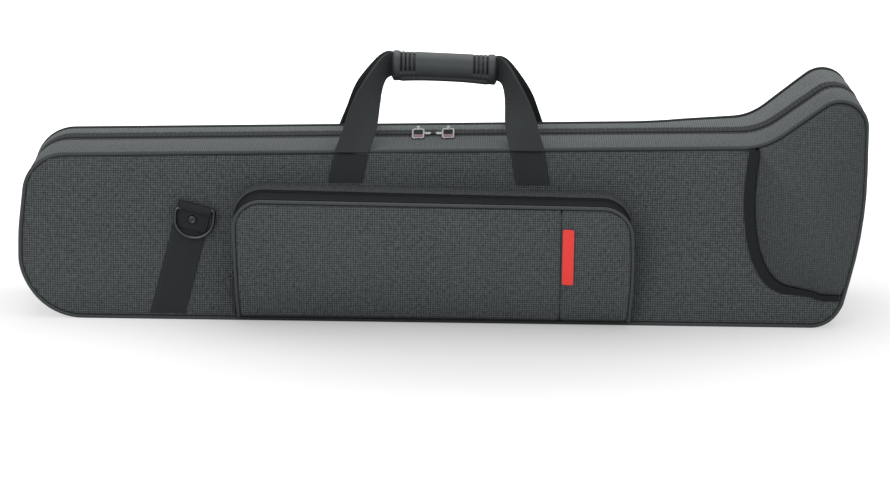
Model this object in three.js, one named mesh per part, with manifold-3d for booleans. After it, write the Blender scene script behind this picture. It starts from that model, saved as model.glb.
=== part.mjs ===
// A soft trombone case standing on its spine. Two foam shells under woven fabric hinge along the
// spine and are zipped together round the ends and the top. The front shell is the lid and carries
// a zipped pocket. The bell lies at the right end, where the case rises to a hump.
// Millimetres, X along the length, Y to the back, Z up. The zip runs in a plane of its own, and
// the shells are drawn out from it to the front and to the rear.
import * as THREE from 'three';
import { mergeVertices } from 'three/addons/utils/BufferGeometryUtils.js';
import Module from 'manifold-3d';

const wasm = await Module();
wasm.setup();

// Outline of the case seen from the front
const CASE_LENGTH = 938;
const SLIDE_END_HEIGHT = 185;
const NECK_HEIGHT = 204;
const HUMP_HEIGHT = 257;
const HUMP_RADIUS = 30;
const HUMP_RAMP_DEGREES = 36;
const VALLEY_RADIUS = 75;
const SLIDE_END_FOOT_RADIUS = 70;
const SLIDE_END_TOP_RADIUS = 45;
const SLIDE_END_BEND_HEIGHT = 99;
const SLIDE_END_BEND_RADIUS = 250;
const SLIDE_END_LEAN = 9;
const BELL_END_BEND_HEIGHT = 115;
const BELL_END_BEND_RADIUS = 500;
const BELL_END_LEAN = 29;
const BELL_END_FOOT_RADIUS = 36;

// Depth of the shells from the zip's plane
const FRONT_DEPTH = 100;
const REAR_DEPTH = 65;
const REAR_BELL_DEPTH = 122;
const REAR_FOLD_FROM_BELL_END = 219;

// Layers of the shells
const FABRIC = 1.2;
const FOAM = 10;
const LINING = 1.5;
const PIPING_RADIUS = 3;
const GAP = 0.3;
const CUT_OVERRUN = 5;

// Main zip and the fabric hinge along the spine
const ZIP_HALF_WIDTH = 16;
const ZIP_TAPE = 1;
const COIL_WIDTH = 3;
const COIL_HEIGHT = 2.2;
const ZIP_END_HEIGHT = 22;

// Gore over the bell and the tape along its seam
const GORE_WIDTH = 124;
const GORE_FOOT_HEIGHT = 38;
const GORE_BULGE = 34;
const BELL_TAPE_WIDTH = 12;
const BELL_TAPE = 1;

// Front pocket, its outline on the panel and at its front
const POCKET_LEFT = -229;
const POCKET_RIGHT = 208;
const POCKET_FOOT = 7;
const POCKET_SEAM_LEFT_TOP = 158;
const POCKET_SEAM_RIGHT_TOP = 148;
const POCKET_FRONT_DROP = 9;
const POCKET_FRONT_SPREAD = 2;
const POCKET_CORNER_RADIUS = 34;
const POCKET_TOP_DEPTH = 50;
const POCKET_FOOT_DEPTH = 12;
const POCKET_PIPING_RADIUS = 2.5;
const POCKET_GUSSET_SHARE = 0.2;
const POCKET_ZIP_SHARE = 0.45;
const POCKET_SWELL_SHARE = 0.6;
const POCKET_SEAM_X = 132;
const LABEL_WIDTH = 12.5;
const LABEL_HEIGHT = 60;
const LABEL_FOOT = 58;
const LABEL = 0.8;

// Webbing handle with its grip in two halves
const WEBBING_WIDTH = 38;
const WEBBING = 1.6;
const HANDLE_LEFT_X = -101;
const HANDLE_RIGHT_X = 94;
const HANDLE_SEWN_SPLAY = 8;
const HANDLE_PIVOT_HEIGHT = 194;
const HANDLE_REAR_SEWN_LENGTH = 50;
const GRIP_LENGTH = 115;
const GRIP_HEIGHT = 275;
const GRIP_RADIUS = 15.5;
const GRIP_SLOT_HEIGHT = 27;
const GRIP_SLOT_DEPTH = 4.4;
const HANDLE_FOLDED_WIDTH = 26;
const HANDLE_TURN_SHARE = 0.6;

// Zip sliders and their pulls
const SLIDER_MEETING_X = -12.5;
const SLIDER_LENGTH = 20;
const SLIDER_WIDTH = 11;
const SLIDER_PLATE = 2;
const SLIDER_BRIDGE_HEIGHT = 5;
const SLIDER_BRIDGE = 1.6;
const PULL_LENGTH = 30;
const PULL_WIDTH = 15;
const PULL = 2.4;
const PULL_EYE_RADIUS = 1.5;
const PULL_DROOP_DEGREES = 9;
const PULL_WINDOW_WIDTH = 9;
const PULL_WINDOW_LENGTH = 10;
const PULL_EYE_SHARE = 0.4;
const SLIDER_BRIDGE_SHARE = 0.55;
const SLIDER_BRIDGE_OFFSET_SHARE = 0.2;

// Pocket slider
const POCKET_SLIDER_HEIGHT = 52;
const POCKET_SLIDER_LENGTH = 11;
const POCKET_SLIDER_WIDTH = 8;
const POCKET_SLIDER = 1.8;
const POCKET_PULL_LENGTH = 22;
const POCKET_PULL_WIDTH = 6;

// Rings for a shoulder strap
const RING_FROM_POCKET = 43;
const RING_HEIGHT = 130;
const RING_TILT_DEGREES = 14;
const RING_WIDTH = 46;
const RING_REACH = 33;
const RING_WIRE_RADIUS = 2;
const RING_CORNER_RADIUS = 4;
const RING_LEAN_DEGREES = 4;
const RING_TAB_WIDTH = 33;
const RING_TAB_LENGTH = 24;
const RING_STRAP_FOOT = 8;
const RING_STRAP_PAST_RING = 9;
const RING_ROUND_SHARE = 0.95;
const RIVET_CROWN_SHARE = 0.6;
const RIVET_PLACE_SHARE = 0.62;
const RIVET_RADIUS = 3.6;
const RIVET_HEIGHT = 1.4;
const REAR_RING_FROM_FOLD = 70;

// Inside fittings
const BELL_AXIS_HEIGHT = 128;
const BELL_AXIS_Y = -11;
const CRADLE_WIDTH = 40;
const NECK_CRADLE_FROM_BELL_END = 309;
const NECK_CRADLE_SHOULDER = 20;
const NECK_NOTCH_RADIUS = 24;
const BOW_CRADLE_FROM_SLIDE_END = 279;
const BOW_CRADLE_SHOULDER = 32;
const TUBE_NOTCH_RADIUS = 12;
const TUBE_HEIGHT = 54;
const SLIDE_CRADLE_FACE = 48;
const SLIDE_CRADLE_FROM_SLIDE_END = 169;
const SLIDE_CRADLE_FROM_BELL_END = 239;
const SLIDE_CRADLE_SHOULDER = 14;
const SLIDE_UPPER_HEIGHT = 146;
const STRAP_WIDTH = 25;
const STRAP = 1.6;
const STRAP_SET_IN = 4;
const NECK_STRAP_LENGTH = 64;
const BOX_FROM_SLIDE_END = 31;
const BOX_LENGTH = 92;
const BOX_FOOT = 70;
const BOX_HEIGHT = 84;
const BOX_WALL = 3;
const BOX_FACE = 4;
const BOX_LID = 3;
const HOLDER_FROM_SLIDE_END = 207;
const HOLDER_HEIGHT = 150;
const HOLDER_SIZE = 44;
const HOLDER_BORE_RADIUS = 14;
const HOLDER_BORE_DEPTH = 34;
const HOLDER_DEPTH = 44;

// Fineness of round stretches
const ARC_STEP = THREE.MathUtils.degToRad(13);
const SIDE_STEPS = 4;
const PIPING_SIDES = 8;
const WIRE_SIDES = 8;
const ROUND_SIDES = 16;
const MERGE_REACH = 1e-5;

const FRONT = -1;
const REAR = 1;
const SLIDE_END_X = -CASE_LENGTH / 2;
const BELL_END_X = CASE_LENGTH / 2;
const REAR_FOLD_X = BELL_END_X - REAR_FOLD_FROM_BELL_END;
const GORE_TOP_X = BELL_END_X - GORE_WIDTH;
const RING_X = POCKET_LEFT - RING_FROM_POCKET;
const REAR_RING_X = REAR_FOLD_X - REAR_RING_FROM_FOLD;
const NECK_CRADLE_X = BELL_END_X - NECK_CRADLE_FROM_BELL_END;
const BOW_CRADLE_X = SLIDE_END_X + BOW_CRADLE_FROM_SLIDE_END;
const BOX_LEFT = SLIDE_END_X + BOX_FROM_SLIDE_END;
const HOLDER_X = SLIDE_END_X + HOLDER_FROM_SLIDE_END;
const HALF_GAP = GAP / 2;
const RIM = COIL_WIDTH + 2 * GAP;
const FOAM_INSET = FABRIC + GAP;
const CAVITY_INSET = FOAM_INSET + FOAM;
const LINED_INSET = CAVITY_INSET + GAP + LINING;
const PIPING_ROOM = 2 * PIPING_RADIUS + GAP;
const RING_BAR_Y = -(2 * WEBBING + GAP + RING_WIRE_RADIUS);
const FOAM_EDGE = 2 * PIPING_RADIUS + (PIPING_RADIUS + GAP) * Math.SQRT2 - FOAM_INSET;

// Finishes: colour, roughness and metalness
const FINISHES = {
  weave: ['#454a4b', 0.9, 0],
  gusset: ['#4a4f51', 0.9, 0],
  piping: ['#565b5d', 0.85, 0],
  webbing: ['#2d3132', 0.85, 0],
  tape: ['#282c2d', 0.85, 0],
  coil: ['#1d2021', 0.5, 0],
  foam: ['#dfe2e0', 0.95, 0],
  plush: ['#2a2c30', 1, 0],
  rubber: ['#4b4f51', 0.55, 0],
  nickel: ['#b9bcbd', 0.3, 1],
  blackSteel: ['#26282a', 0.35, 0.8],
  label: ['#ea463e', 0.7, 0],
};

function material(finish) {
  const [color, roughness, metalness] = FINISHES[finish];
  return new THREE.MeshStandardMaterial({ color, roughness, metalness });
}

function part(group, name, geometry, finish) {
  const mesh = new THREE.Mesh(geometry, material(finish));
  mesh.name = name;
  group.add(mesh);
  return mesh;
}

// Outlines: lists of points with the outward normal, clockwise as seen from the front
function arcCorner(before, corner, after) {
  const here = new THREE.Vector2(corner.x, corner.z);
  const ahead = here.clone().sub(before).normalize();
  const onward = after.clone().sub(here).normalize();
  const turn = Math.atan2(ahead.cross(onward), ahead.dot(onward));
  const side = turn < 0 ? 1 : -1;
  const reach = corner.radius * Math.tan(Math.abs(turn) / 2);
  const outward = new THREE.Vector2(-ahead.y, ahead.x);
  const centre = here.clone().addScaledVector(ahead, -reach);
  centre.addScaledVector(outward, -side * corner.radius);
  const steps = Math.max(2, Math.round(Math.abs(turn) / ARC_STEP));
  const points = [];
  for (let step = 0; step <= steps; step += 1) {
    const normal = outward.clone().rotateAround(new THREE.Vector2(), (turn * step) / steps);
    const place = centre.clone().addScaledVector(normal, side * corner.radius);
    points.push({ x: place.x, z: place.y, nx: normal.x, nz: normal.y });
  }
  return points;
}

function endPoint(end, other, direction) {
  const ahead = new THREE.Vector2(other.x - end.x, other.z - end.z).normalize();
  ahead.multiplyScalar(direction);
  return { x: end.x, z: end.z, nx: -ahead.y, nz: ahead.x };
}

function roundedOutline(corners, closed = true) {
  const count = corners.length;
  const places = corners.map((corner) => new THREE.Vector2(corner.x, corner.z));
  return corners.flatMap((corner, k) => {
    if (!closed && k === 0) return [endPoint(corner, corners[1], 1)];
    if (!closed && k === count - 1) return [endPoint(corner, corners[k - 1], -1)];
    return arcCorner(places[(k + count - 1) % count], corner, places[(k + 1) % count]);
  });
}

// Adds a point wherever a closed outline's straight stretches cross a place along X
function withStation(outline, x) {
  return outline.flatMap((point, k) => {
    const next = outline[(k + 1) % outline.length];
    if ((point.x - x) * (next.x - x) >= 0) return [point];
    const share = (x - point.x) / (next.x - point.x);
    return [point, { ...point, x, z: point.z + share * (next.z - point.z) }];
  });
}

function caseOutline() {
  const left = SLIDE_END_X;
  const right = BELL_END_X;
  const ramp = THREE.MathUtils.degToRad(HUMP_RAMP_DEGREES);
  const rise = (HUMP_RADIUS * (1 + Math.sin(ramp))) / Math.cos(ramp);
  const peak = HUMP_HEIGHT - HUMP_RADIUS + rise;
  return withStation(roundedOutline([
    { x: left, z: 0, radius: SLIDE_END_FOOT_RADIUS },
    { x: left, z: SLIDE_END_BEND_HEIGHT, radius: SLIDE_END_BEND_RADIUS },
    { x: left + SLIDE_END_LEAN, z: SLIDE_END_HEIGHT, radius: SLIDE_END_TOP_RADIUS },
    { x: right - (peak - NECK_HEIGHT) / Math.tan(ramp), z: NECK_HEIGHT, radius: VALLEY_RADIUS },
    { x: right, z: peak, radius: HUMP_RADIUS },
    { x: right, z: BELL_END_BEND_HEIGHT, radius: BELL_END_BEND_RADIUS },
    { x: right - BELL_END_LEAN, z: 0, radius: BELL_END_FOOT_RADIUS },
  ]), REAR_FOLD_X);
}

const OUTLINE = caseOutline();

// Height of the top line at a place along the case, clear of the hump
function topAt(x) {
  const start = OUTLINE.findIndex((point) => point.nz > 0.99 && point.z > SLIDE_END_BEND_HEIGHT);
  const from = OUTLINE[start];
  const to = OUTLINE[start + 1];
  return from.z + ((x - from.x) * (to.z - from.z)) / (to.x - from.x);
}

// Points on a shell: set in from the outline, and back from the face or at a depth of their own
function depthAt(side, x) {
  if (side === FRONT) return FRONT_DEPTH;
  const slope = (REAR_BELL_DEPTH - REAR_DEPTH) / REAR_FOLD_FROM_BELL_END;
  return REAR_DEPTH + Math.max(0, x - REAR_FOLD_X) * slope;
}

function facePoint(side, point, inset, back) {
  const x = point.x - point.nx * inset;
  return new THREE.Vector3(x, side * (depthAt(side, x) - back), point.z - point.nz * inset);
}

function planePoint(side, point, inset, depth) {
  return new THREE.Vector3(point.x - point.nx * inset, side * depth, point.z - point.nz * inset);
}

// Closed geometries
function closedGeometry(vertices, triangles) {
  const volume = triangles.reduce((sum, [a, b, c]) => {
    const face = vertices[b].clone().cross(vertices[c]);
    return sum + vertices[a].dot(face);
  }, 0);
  const outward = volume > 0 ? triangles : triangles.map(([a, b, c]) => [a, c, b]);
  const geometry = new THREE.BufferGeometry();
  geometry.setAttribute('position', new THREE.Float32BufferAttribute(
    vertices.flatMap((vertex) => vertex.toArray()), 3));
  geometry.setIndex(outward.flat());
  geometry.computeVertexNormals();
  return geometry;
}

function wallTriangles(ringCount, size, joinEnds) {
  const triangles = [];
  for (let ring = 0; ring < ringCount - (joinEnds ? 0 : 1); ring += 1) {
    for (let k = 0; k < size; k += 1) {
      const next = (k + 1) % size;
      const above = ((ring + 1) % ringCount) * size;
      const here = ring * size;
      triangles.push([here + k, here + next, above + next]);
      triangles.push([here + k, above + next, above + k]);
    }
  }
  return triangles;
}

// A body swept through convex sections; a closed one joins its last section to its first
function sweep(sections, closed = false) {
  const size = sections[0].length;
  const triangles = wallTriangles(sections.length, size, closed);
  if (!closed) {
    const last = (sections.length - 1) * size;
    for (let k = 1; k < size - 1; k += 1) {
      triangles.push([0, k + 1, k]);
      triangles.push([last, last + k, last + k + 1]);
    }
  }
  return closedGeometry(sections.flat(), triangles);
}

// Triangles over a ring, split where the ring crosses the fold of the rear face
function ringTriangles(ring, foldX) {
  const indices = ring.map((vertex, k) => k);
  const near = (k) => Math.abs(ring[k].x - foldX) < GAP * 2;
  const folds = indices.filter((k) => near(k));
  const groups = folds.length === 2
    ? [indices.filter((k) => ring[k].x < foldX || near(k)), indices.filter((k) => ring[k].x > foldX || near(k))]
    : [indices];
  return groups.flatMap((group) => {
    const flat = group.map((k) => new THREE.Vector2(ring[k].x, ring[k].z));
    const clockwise = THREE.ShapeUtils.area(flat) < 0;
    return THREE.ShapeUtils.triangulateShape(flat, []).map(([a, b, c]) => {
      const same = (THREE.ShapeUtils.area([flat[a], flat[b], flat[c]]) < 0) === clockwise;
      return same ? [group[a], group[b], group[c]] : [group[a], group[c], group[b]];
    });
  });
}

// A body of rings laid one on another, with its first and last ring filled in
function stack(rings, foldX = REAR_FOLD_X) {
  const size = rings[0].length;
  const last = (rings.length - 1) * size;
  const triangles = wallTriangles(rings.length, size, false);
  ringTriangles(rings[0], foldX).forEach(([a, b, c]) => triangles.push([a, c, b]));
  ringTriangles(rings[rings.length - 1], foldX).forEach(([a, b, c]) => {
    triangles.push([last + a, last + b, last + c]);
  });
  return closedGeometry(rings.flat(), triangles);
}

// Booleans
function solid(geometry) {
  const bare = geometry.clone();
  bare.deleteAttribute('normal');
  bare.deleteAttribute('uv');
  const merged = mergeVertices(bare, MERGE_REACH);
  return new wasm.Manifold(new wasm.Mesh({
    numProp: 3,
    vertProperties: Float32Array.from(merged.attributes.position.array),
    triVerts: Uint32Array.from(merged.index.array),
  }));
}

function geometryOf(manifold) {
  const mesh = manifold.getMesh();
  const geometry = new THREE.BufferGeometry();
  geometry.setAttribute('position', new THREE.BufferAttribute(mesh.vertProperties, 3));
  geometry.setIndex(new THREE.BufferAttribute(mesh.triVerts, 1));
  geometry.computeVertexNormals();
  return geometry;
}

// Prisms: a shape of (across, up) points drawn along one axis
const ACROSS_TO_X = new THREE.Matrix4().makeBasis(
  new THREE.Vector3(0, 1, 0), new THREE.Vector3(0, 0, 1), new THREE.Vector3(1, 0, 0));
const BACK_TO_FRONT = new THREE.Matrix4().makeBasis(
  new THREE.Vector3(1, 0, 0), new THREE.Vector3(0, 0, 1), new THREE.Vector3(0, -1, 0));

function prism(points, length, axis, holes = []) {
  const shape = new THREE.Shape(points.map(([across, up]) => new THREE.Vector2(across, up)));
  shape.holes = holes;
  const geometry = new THREE.ExtrudeGeometry(shape, { depth: length, bevelEnabled: false });
  return geometry.applyMatrix4(axis === 'x' ? ACROSS_TO_X : BACK_TO_FRONT);
}

function box(width, depth, height, x, y, z) {
  return new THREE.BoxGeometry(width, depth, height).translate(x, y, z);
}

function circleHole(across, up, radius, sides = ROUND_SIDES) {
  const hole = new THREE.Path();
  for (let k = 0; k <= sides; k += 1) {
    const angle = (-2 * Math.PI * k) / sides;
    const place = [across + radius * Math.cos(angle), up + radius * Math.sin(angle)];
    if (k === 0) hole.moveTo(...place);
    else hole.lineTo(...place);
  }
  return hole;
}

// The gore over the bell: its seam runs down from the neck and round to the bell end
const GORE_SEAM_SHARES = [
  [0, 1], [-0.03, 0.7], [0.0, 0.42], [0.1, 0.17], [0.28, 0.045], [0.6, 0.01], [1.2, 0],
];

function goreSeam(offset) {
  const width = GORE_WIDTH - BELL_END_LEAN;
  const height = NECK_HEIGHT - GORE_FOOT_HEIGHT;
  const curve = new THREE.SplineCurve(GORE_SEAM_SHARES.map(([across, up]) => new THREE.Vector2(
    GORE_TOP_X + across * width, GORE_FOOT_HEIGHT + up * height)));
  const count = 2 * GORE_SEAM_SHARES.length;
  return Array.from({ length: count + 1 }, (unused, k) => {
    const place = curve.getPoint(k / count);
    const ahead = curve.getTangent(k / count);
    return { x: place.x - ahead.y * offset, z: place.y + ahead.x * offset };
  });
}

function goreRegion(offset, inset) {
  const seam = goreSeam(offset);
  const first = seam[0];
  const last = seam[seam.length - 1];
  const edge = OUTLINE.map((point) => ({ x: point.x - point.nx * inset, z: point.z - point.nz * inset }));
  const inside = edge.filter((point) => point.x > first.x && point.z > last.z);
  const kept = seam.filter((point) => insideOutline(point, inset));
  return [...inside, ...kept.reverse()];
}

function insideOutline(point, inset) {
  let within = false;
  OUTLINE.forEach((corner, k) => {
    const next = OUTLINE[(k + 1) % OUTLINE.length];
    const a = { x: corner.x - corner.nx * inset, z: corner.z - corner.nz * inset };
    const b = { x: next.x - next.nx * inset, z: next.z - next.nz * inset };
    const crosses = (a.z > point.z) !== (b.z > point.z);
    if (crosses && point.x < a.x + ((point.z - a.z) * (b.x - a.x)) / (b.z - a.z)) within = !within;
  });
  return within;
}

// Shell bodies
function shellBlock(side) {
  return stack([
    OUTLINE.map((point) => planePoint(side, point, FOAM_INSET, RIM)),
    OUTLINE.map((point) => facePoint(side, point, FOAM_INSET, FOAM_EDGE)),
    OUTLINE.map((point) => facePoint(side, point, FOAM_EDGE, FOAM_INSET)),
  ]);
}

function shellCavity(side, inset, rim) {
  return stack([
    OUTLINE.map((point) => planePoint(side, point, inset, rim)),
    OUTLINE.map((point) => facePoint(side, point, inset, inset)),
  ]);
}

// Domes over the gore: rings drawn in from its edge to its middle, rising as they go
const DOME_SHARES = [0, 0.14, 0.32, 0.55, 0.85];

function domeRings(outline, inset, edgeShare) {
  const middle = { x: (GORE_TOP_X + BELL_END_X) / 2, z: BELL_AXIS_HEIGHT };
  return DOME_SHARES.map((share) => {
    const drawn = edgeShare + (1 - edgeShare) * share;
    const bulge = GORE_BULGE * (1 - (1 - drawn) ** 2);
    return outline.map((point) => new THREE.Vector3(
      point.x + (middle.x - point.x) * drawn,
      -(FRONT_DEPTH - inset + bulge),
      point.z + (middle.z - point.z) * drawn));
  });
}

function domeBlock(outline, inset, edgeShare, rootInset) {
  const rings = domeRings(outline, inset, edgeShare);
  const root = rings[0].map((vertex) => new THREE.Vector3(vertex.x, -(FRONT_DEPTH - rootInset), vertex.z));
  return stack([root, ...rings]);
}

const GORE_EDGE = goreRegion(BELL_TAPE_WIDTH / 2 + GAP, PIPING_ROOM);

function frontCavity(inset, rim) {
  const flat = solid(shellCavity(FRONT, inset, rim));
  return flat.add(solid(domeBlock(GORE_EDGE, inset, (2 * inset) / GORE_WIDTH, inset + CUT_OVERRUN)));
}

function foamShell(side) {
  const block = solid(shellBlock(side));
  if (side === REAR) return geometryOf(block.subtract(solid(shellCavity(REAR, CAVITY_INSET, RIM - CUT_OVERRUN))));
  const domed = block.add(solid(domeBlock(GORE_EDGE, FOAM_INSET, 0, FOAM_INSET + CUT_OVERRUN)));
  return geometryOf(domed.subtract(frontCavity(CAVITY_INSET, RIM - CUT_OVERRUN)));
}

function liningShell(side) {
  const outer = CAVITY_INSET + GAP;
  if (side === REAR) {
    const block = solid(shellCavity(REAR, outer, RIM));
    return geometryOf(block.subtract(solid(shellCavity(REAR, outer + LINING, RIM - CUT_OVERRUN))));
  }
  return geometryOf(frontCavity(outer, RIM).subtract(frontCavity(outer + LINING, RIM - CUT_OVERRUN)));
}

function gussetBand(side) {
  return sweep(OUTLINE.map((point) => [
    facePoint(side, point, 0, PIPING_ROOM),
    planePoint(side, point, 0, ZIP_HALF_WIDTH),
    planePoint(side, point, FABRIC, ZIP_HALF_WIDTH),
    facePoint(side, point, FABRIC, PIPING_ROOM),
  ]), true);
}

function pipingTube(side) {
  return sweep(OUTLINE.map((point) => Array.from({ length: PIPING_SIDES }, (unused, k) => {
    const angle = (2 * Math.PI * k) / PIPING_SIDES;
    const inset = PIPING_RADIUS * (1 - Math.cos(angle));
    const back = PIPING_RADIUS * (1 - Math.sin(angle));
    return facePoint(side, point, inset, back);
  })), true);
}

// Stretches of the outline, each drawn back a little at its ends
function drawnBack(points) {
  const ends = [[0, 1], [points.length - 1, points.length - 2]];
  const kept = points.map((point) => ({ ...point }));
  ends.forEach(([end, next]) => {
    const span = Math.hypot(points[next].x - points[end].x, points[next].z - points[end].z);
    kept[end].x += ((points[next].x - points[end].x) * GAP) / span;
    kept[end].z += ((points[next].z - points[end].z) * GAP) / span;
  });
  return kept;
}

const ZIP_START = OUTLINE.findIndex((point) => point.z > ZIP_END_HEIGHT);
const ZIP_END = OUTLINE.findLastIndex((point) => point.z > ZIP_END_HEIGHT);
const ZIP_PATH = drawnBack(OUTLINE.slice(ZIP_START, ZIP_END + 1));
const SPINE_PATH = drawnBack([...OUTLINE.slice(ZIP_END), ...OUTLINE.slice(0, ZIP_START + 1)]);

function strip(side, path, inset, thickness, near, far) {
  return sweep(path.map((point) => [
    planePoint(side, point, inset, near),
    planePoint(side, point, inset, far),
    planePoint(side, point, inset + thickness, far),
    planePoint(side, point, inset + thickness, near),
  ]));
}

function addShell(group, side, prefix) {
  part(group, `${prefix}_foam_shell`, foamShell(side), 'foam');
  part(group, `${prefix}_lining`, liningShell(side), 'plush');
  part(group, `${prefix}_gusset`, gussetBand(side), 'gusset');
  part(group, `${prefix}_piping`, pipingTube(side), 'piping');
  const tapeEdge = ZIP_HALF_WIDTH - GAP;
  part(group, `zip_tape_${prefix}`, strip(side, ZIP_PATH, 0, ZIP_TAPE, HALF_GAP, tapeEdge), 'tape');
  const coil = strip(side, ZIP_PATH, ZIP_TAPE + GAP, COIL_HEIGHT, HALF_GAP, COIL_WIDTH);
  part(group, `zip_coil_${prefix}`, coil, 'coil');
  const hinge = strip(side, SPINE_PATH, 0, ZIP_TAPE, HALF_GAP, tapeEdge);
  part(group, `spine_strip_${prefix}`, hinge, 'gusset');
}

function facePlate(side, thickness, inset) {
  return stack([
    OUTLINE.map((point) => facePoint(side, point, inset, 0)),
    OUTLINE.map((point) => facePoint(side, point, inset, thickness)),
  ]);
}

function frontPanel() {
  const seam = goreSeam(BELL_TAPE_WIDTH / 2);
  const far = CASE_LENGTH;
  const region = [
    ...seam.map((point) => [point.x, point.z]),
    [far, seam[seam.length - 1].z],
    [far, far],
    [seam[0].x, far],
  ];
  const cutter = prism(region, 2 * FRONT_DEPTH, 'y');
  return geometryOf(solid(facePlate(FRONT, FABRIC, PIPING_ROOM)).subtract(solid(cutter)));
}

function bellGore() {
  const outer = domeRings(GORE_EDGE, 0, 0);
  const inner = domeRings(GORE_EDGE, FABRIC, 0);
  return stack([...inner.reverse(), ...outer]);
}

function bellTape() {
  const front = FRONT_DEPTH + GAP;
  const sides = [-BELL_TAPE_WIDTH / 2, BELL_TAPE_WIDTH / 2].map((offset) => goreSeam(offset));
  const inside = sides[0].map((point, k) => k).filter((k) => sides.every(
    (line) => insideOutline(line[k], PIPING_ROOM)));
  return sweep(inside.map((k) => [
    new THREE.Vector3(sides[0][k].x, -front, sides[0][k].z),
    new THREE.Vector3(sides[1][k].x, -front, sides[1][k].z),
    new THREE.Vector3(sides[1][k].x, -front - BELL_TAPE, sides[1][k].z),
    new THREE.Vector3(sides[0][k].x, -front - BELL_TAPE, sides[0][k].z),
  ]));
}

// Pocket outlines on the panel and at the pocket's front, left foot to right foot
function withSideSteps(points) {
  const first = points[0];
  const second = points[1];
  const last = points[points.length - 1];
  const beforeLast = points[points.length - 2];
  const between = (a, b, share) => ({ ...a, x: a.x + (b.x - a.x) * share, z: a.z + (b.z - a.z) * share });
  const shares = Array.from({ length: SIDE_STEPS - 1 }, (unused, k) => (k + 1) / SIDE_STEPS);
  return [
    first,
    ...shares.map((share) => between(first, second, share)),
    ...points.slice(1, -1),
    ...shares.map((share) => ({ ...between(beforeLast, last, share), nx: last.nx, nz: last.nz })),
    last,
  ];
}

function pocketOutline(spread, drop) {
  const left = POCKET_LEFT - spread;
  const right = POCKET_RIGHT + spread;
  return withSideSteps(roundedOutline([
    { x: left, z: POCKET_FOOT },
    { x: left, z: POCKET_SEAM_LEFT_TOP - drop, radius: POCKET_CORNER_RADIUS },
    { x: right, z: POCKET_SEAM_RIGHT_TOP - drop, radius: POCKET_CORNER_RADIUS },
    { x: right, z: POCKET_FOOT },
  ], false));
}

const POCKET_SEAM = pocketOutline(0, 0);
const POCKET_FRONT = pocketOutline(POCKET_FRONT_SPREAD, POCKET_FRONT_DROP);
const POCKET_BACK = FRONT_DEPTH + GAP;

function pocketDepth(z) {
  const height = POCKET_SEAM_LEFT_TOP - POCKET_FRONT_DROP - POCKET_FOOT;
  const share = Math.max(0, z - POCKET_FOOT) / height;
  return POCKET_FOOT_DEPTH + (POCKET_TOP_DEPTH - POCKET_FOOT_DEPTH) * share ** POCKET_SWELL_SHARE;
}

// A point of the pocket's rim: set in from its outline, at a depth out from the panel
function rimPoint(k, inset, out) {
  const rear = POCKET_SEAM[k];
  const front = POCKET_FRONT[k];
  const share = out / pocketDepth(front.z);
  return new THREE.Vector3(
    rear.x + (front.x - rear.x) * share - front.nx * inset,
    -(POCKET_BACK + out),
    rear.z + (front.z - rear.z) * share - front.nz * inset);
}

function rimBand(from, to) {
  return sweep(POCKET_FRONT.map((point, k) => {
    const depth = pocketDepth(point.z);
    return [
      rimPoint(k, 0, from(depth)),
      rimPoint(k, 0, to(depth)),
      rimPoint(k, FABRIC, to(depth)),
      rimPoint(k, FABRIC, from(depth)),
    ];
  }));
}

const POCKET_PIPING_ROOM = 2 * POCKET_PIPING_RADIUS + GAP;

function pocketPiping() {
  return sweep(POCKET_FRONT.map((point, k) => Array.from({ length: PIPING_SIDES }, (unused, side) => {
    const angle = (2 * Math.PI * side) / PIPING_SIDES;
    const inset = POCKET_PIPING_RADIUS * (1 - Math.cos(angle));
    const back = POCKET_PIPING_RADIUS * (1 - Math.sin(angle));
    return rimPoint(k, inset, pocketDepth(point.z) - back);
  })));
}

function pocketFace(x, z, thickness, proud = 0) {
  return new THREE.Vector3(x, -(POCKET_BACK + pocketDepth(z) + proud - thickness), z);
}

function faceRows(rows, thickness, proud = 0) {
  return sweep(rows.map(([a, b]) => [
    pocketFace(a.x, a.z, 0, proud),
    pocketFace(b.x, b.z, 0, proud),
    pocketFace(b.x, b.z, thickness, proud),
    pocketFace(a.x, a.z, thickness, proud),
  ]));
}

// One of the two pieces of the pocket's front, from its side edge to the upright seam
function pocketPanel(leftSide) {
  const chain = leftSide ? POCKET_FRONT : [...POCKET_FRONT].reverse();
  const count = SIDE_STEPS + (POCKET_FRONT.length - 2 * SIDE_STEPS) / 2;
  const edge = chain.slice(0, count).map((point) => ({
    x: point.x - point.nx * POCKET_PIPING_ROOM,
    z: point.z - point.nz * POCKET_PIPING_ROOM,
  }));
  const top = edge[edge.length - 1].z;
  const seamShare = (POCKET_SEAM_X - POCKET_LEFT) / (POCKET_RIGHT - POCKET_LEFT);
  const slope = POCKET_SEAM_RIGHT_TOP - POCKET_SEAM_LEFT_TOP;
  const seamTop = POCKET_SEAM_LEFT_TOP + slope * seamShare - POCKET_FRONT_DROP - POCKET_PIPING_ROOM;
  const seamX = POCKET_SEAM_X + (leftSide ? -HALF_GAP : HALF_GAP);
  return faceRows(edge.map((point) => [point, {
    x: seamX,
    z: POCKET_FOOT + ((point.z - POCKET_FOOT) * (seamTop - POCKET_FOOT)) / (top - POCKET_FOOT),
  }]), FABRIC);
}

const LABEL_ROW_SHARES = [0, 0.25, 0.5, 0.75, 1];

function pocketLabel() {
  return faceRows(LABEL_ROW_SHARES.map((share) => {
    const z = LABEL_FOOT + LABEL_HEIGHT * share;
    return [{ x: POCKET_SEAM_X, z }, { x: POCKET_SEAM_X + LABEL_WIDTH, z }];
  }), LABEL, LABEL + GAP);
}

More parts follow.
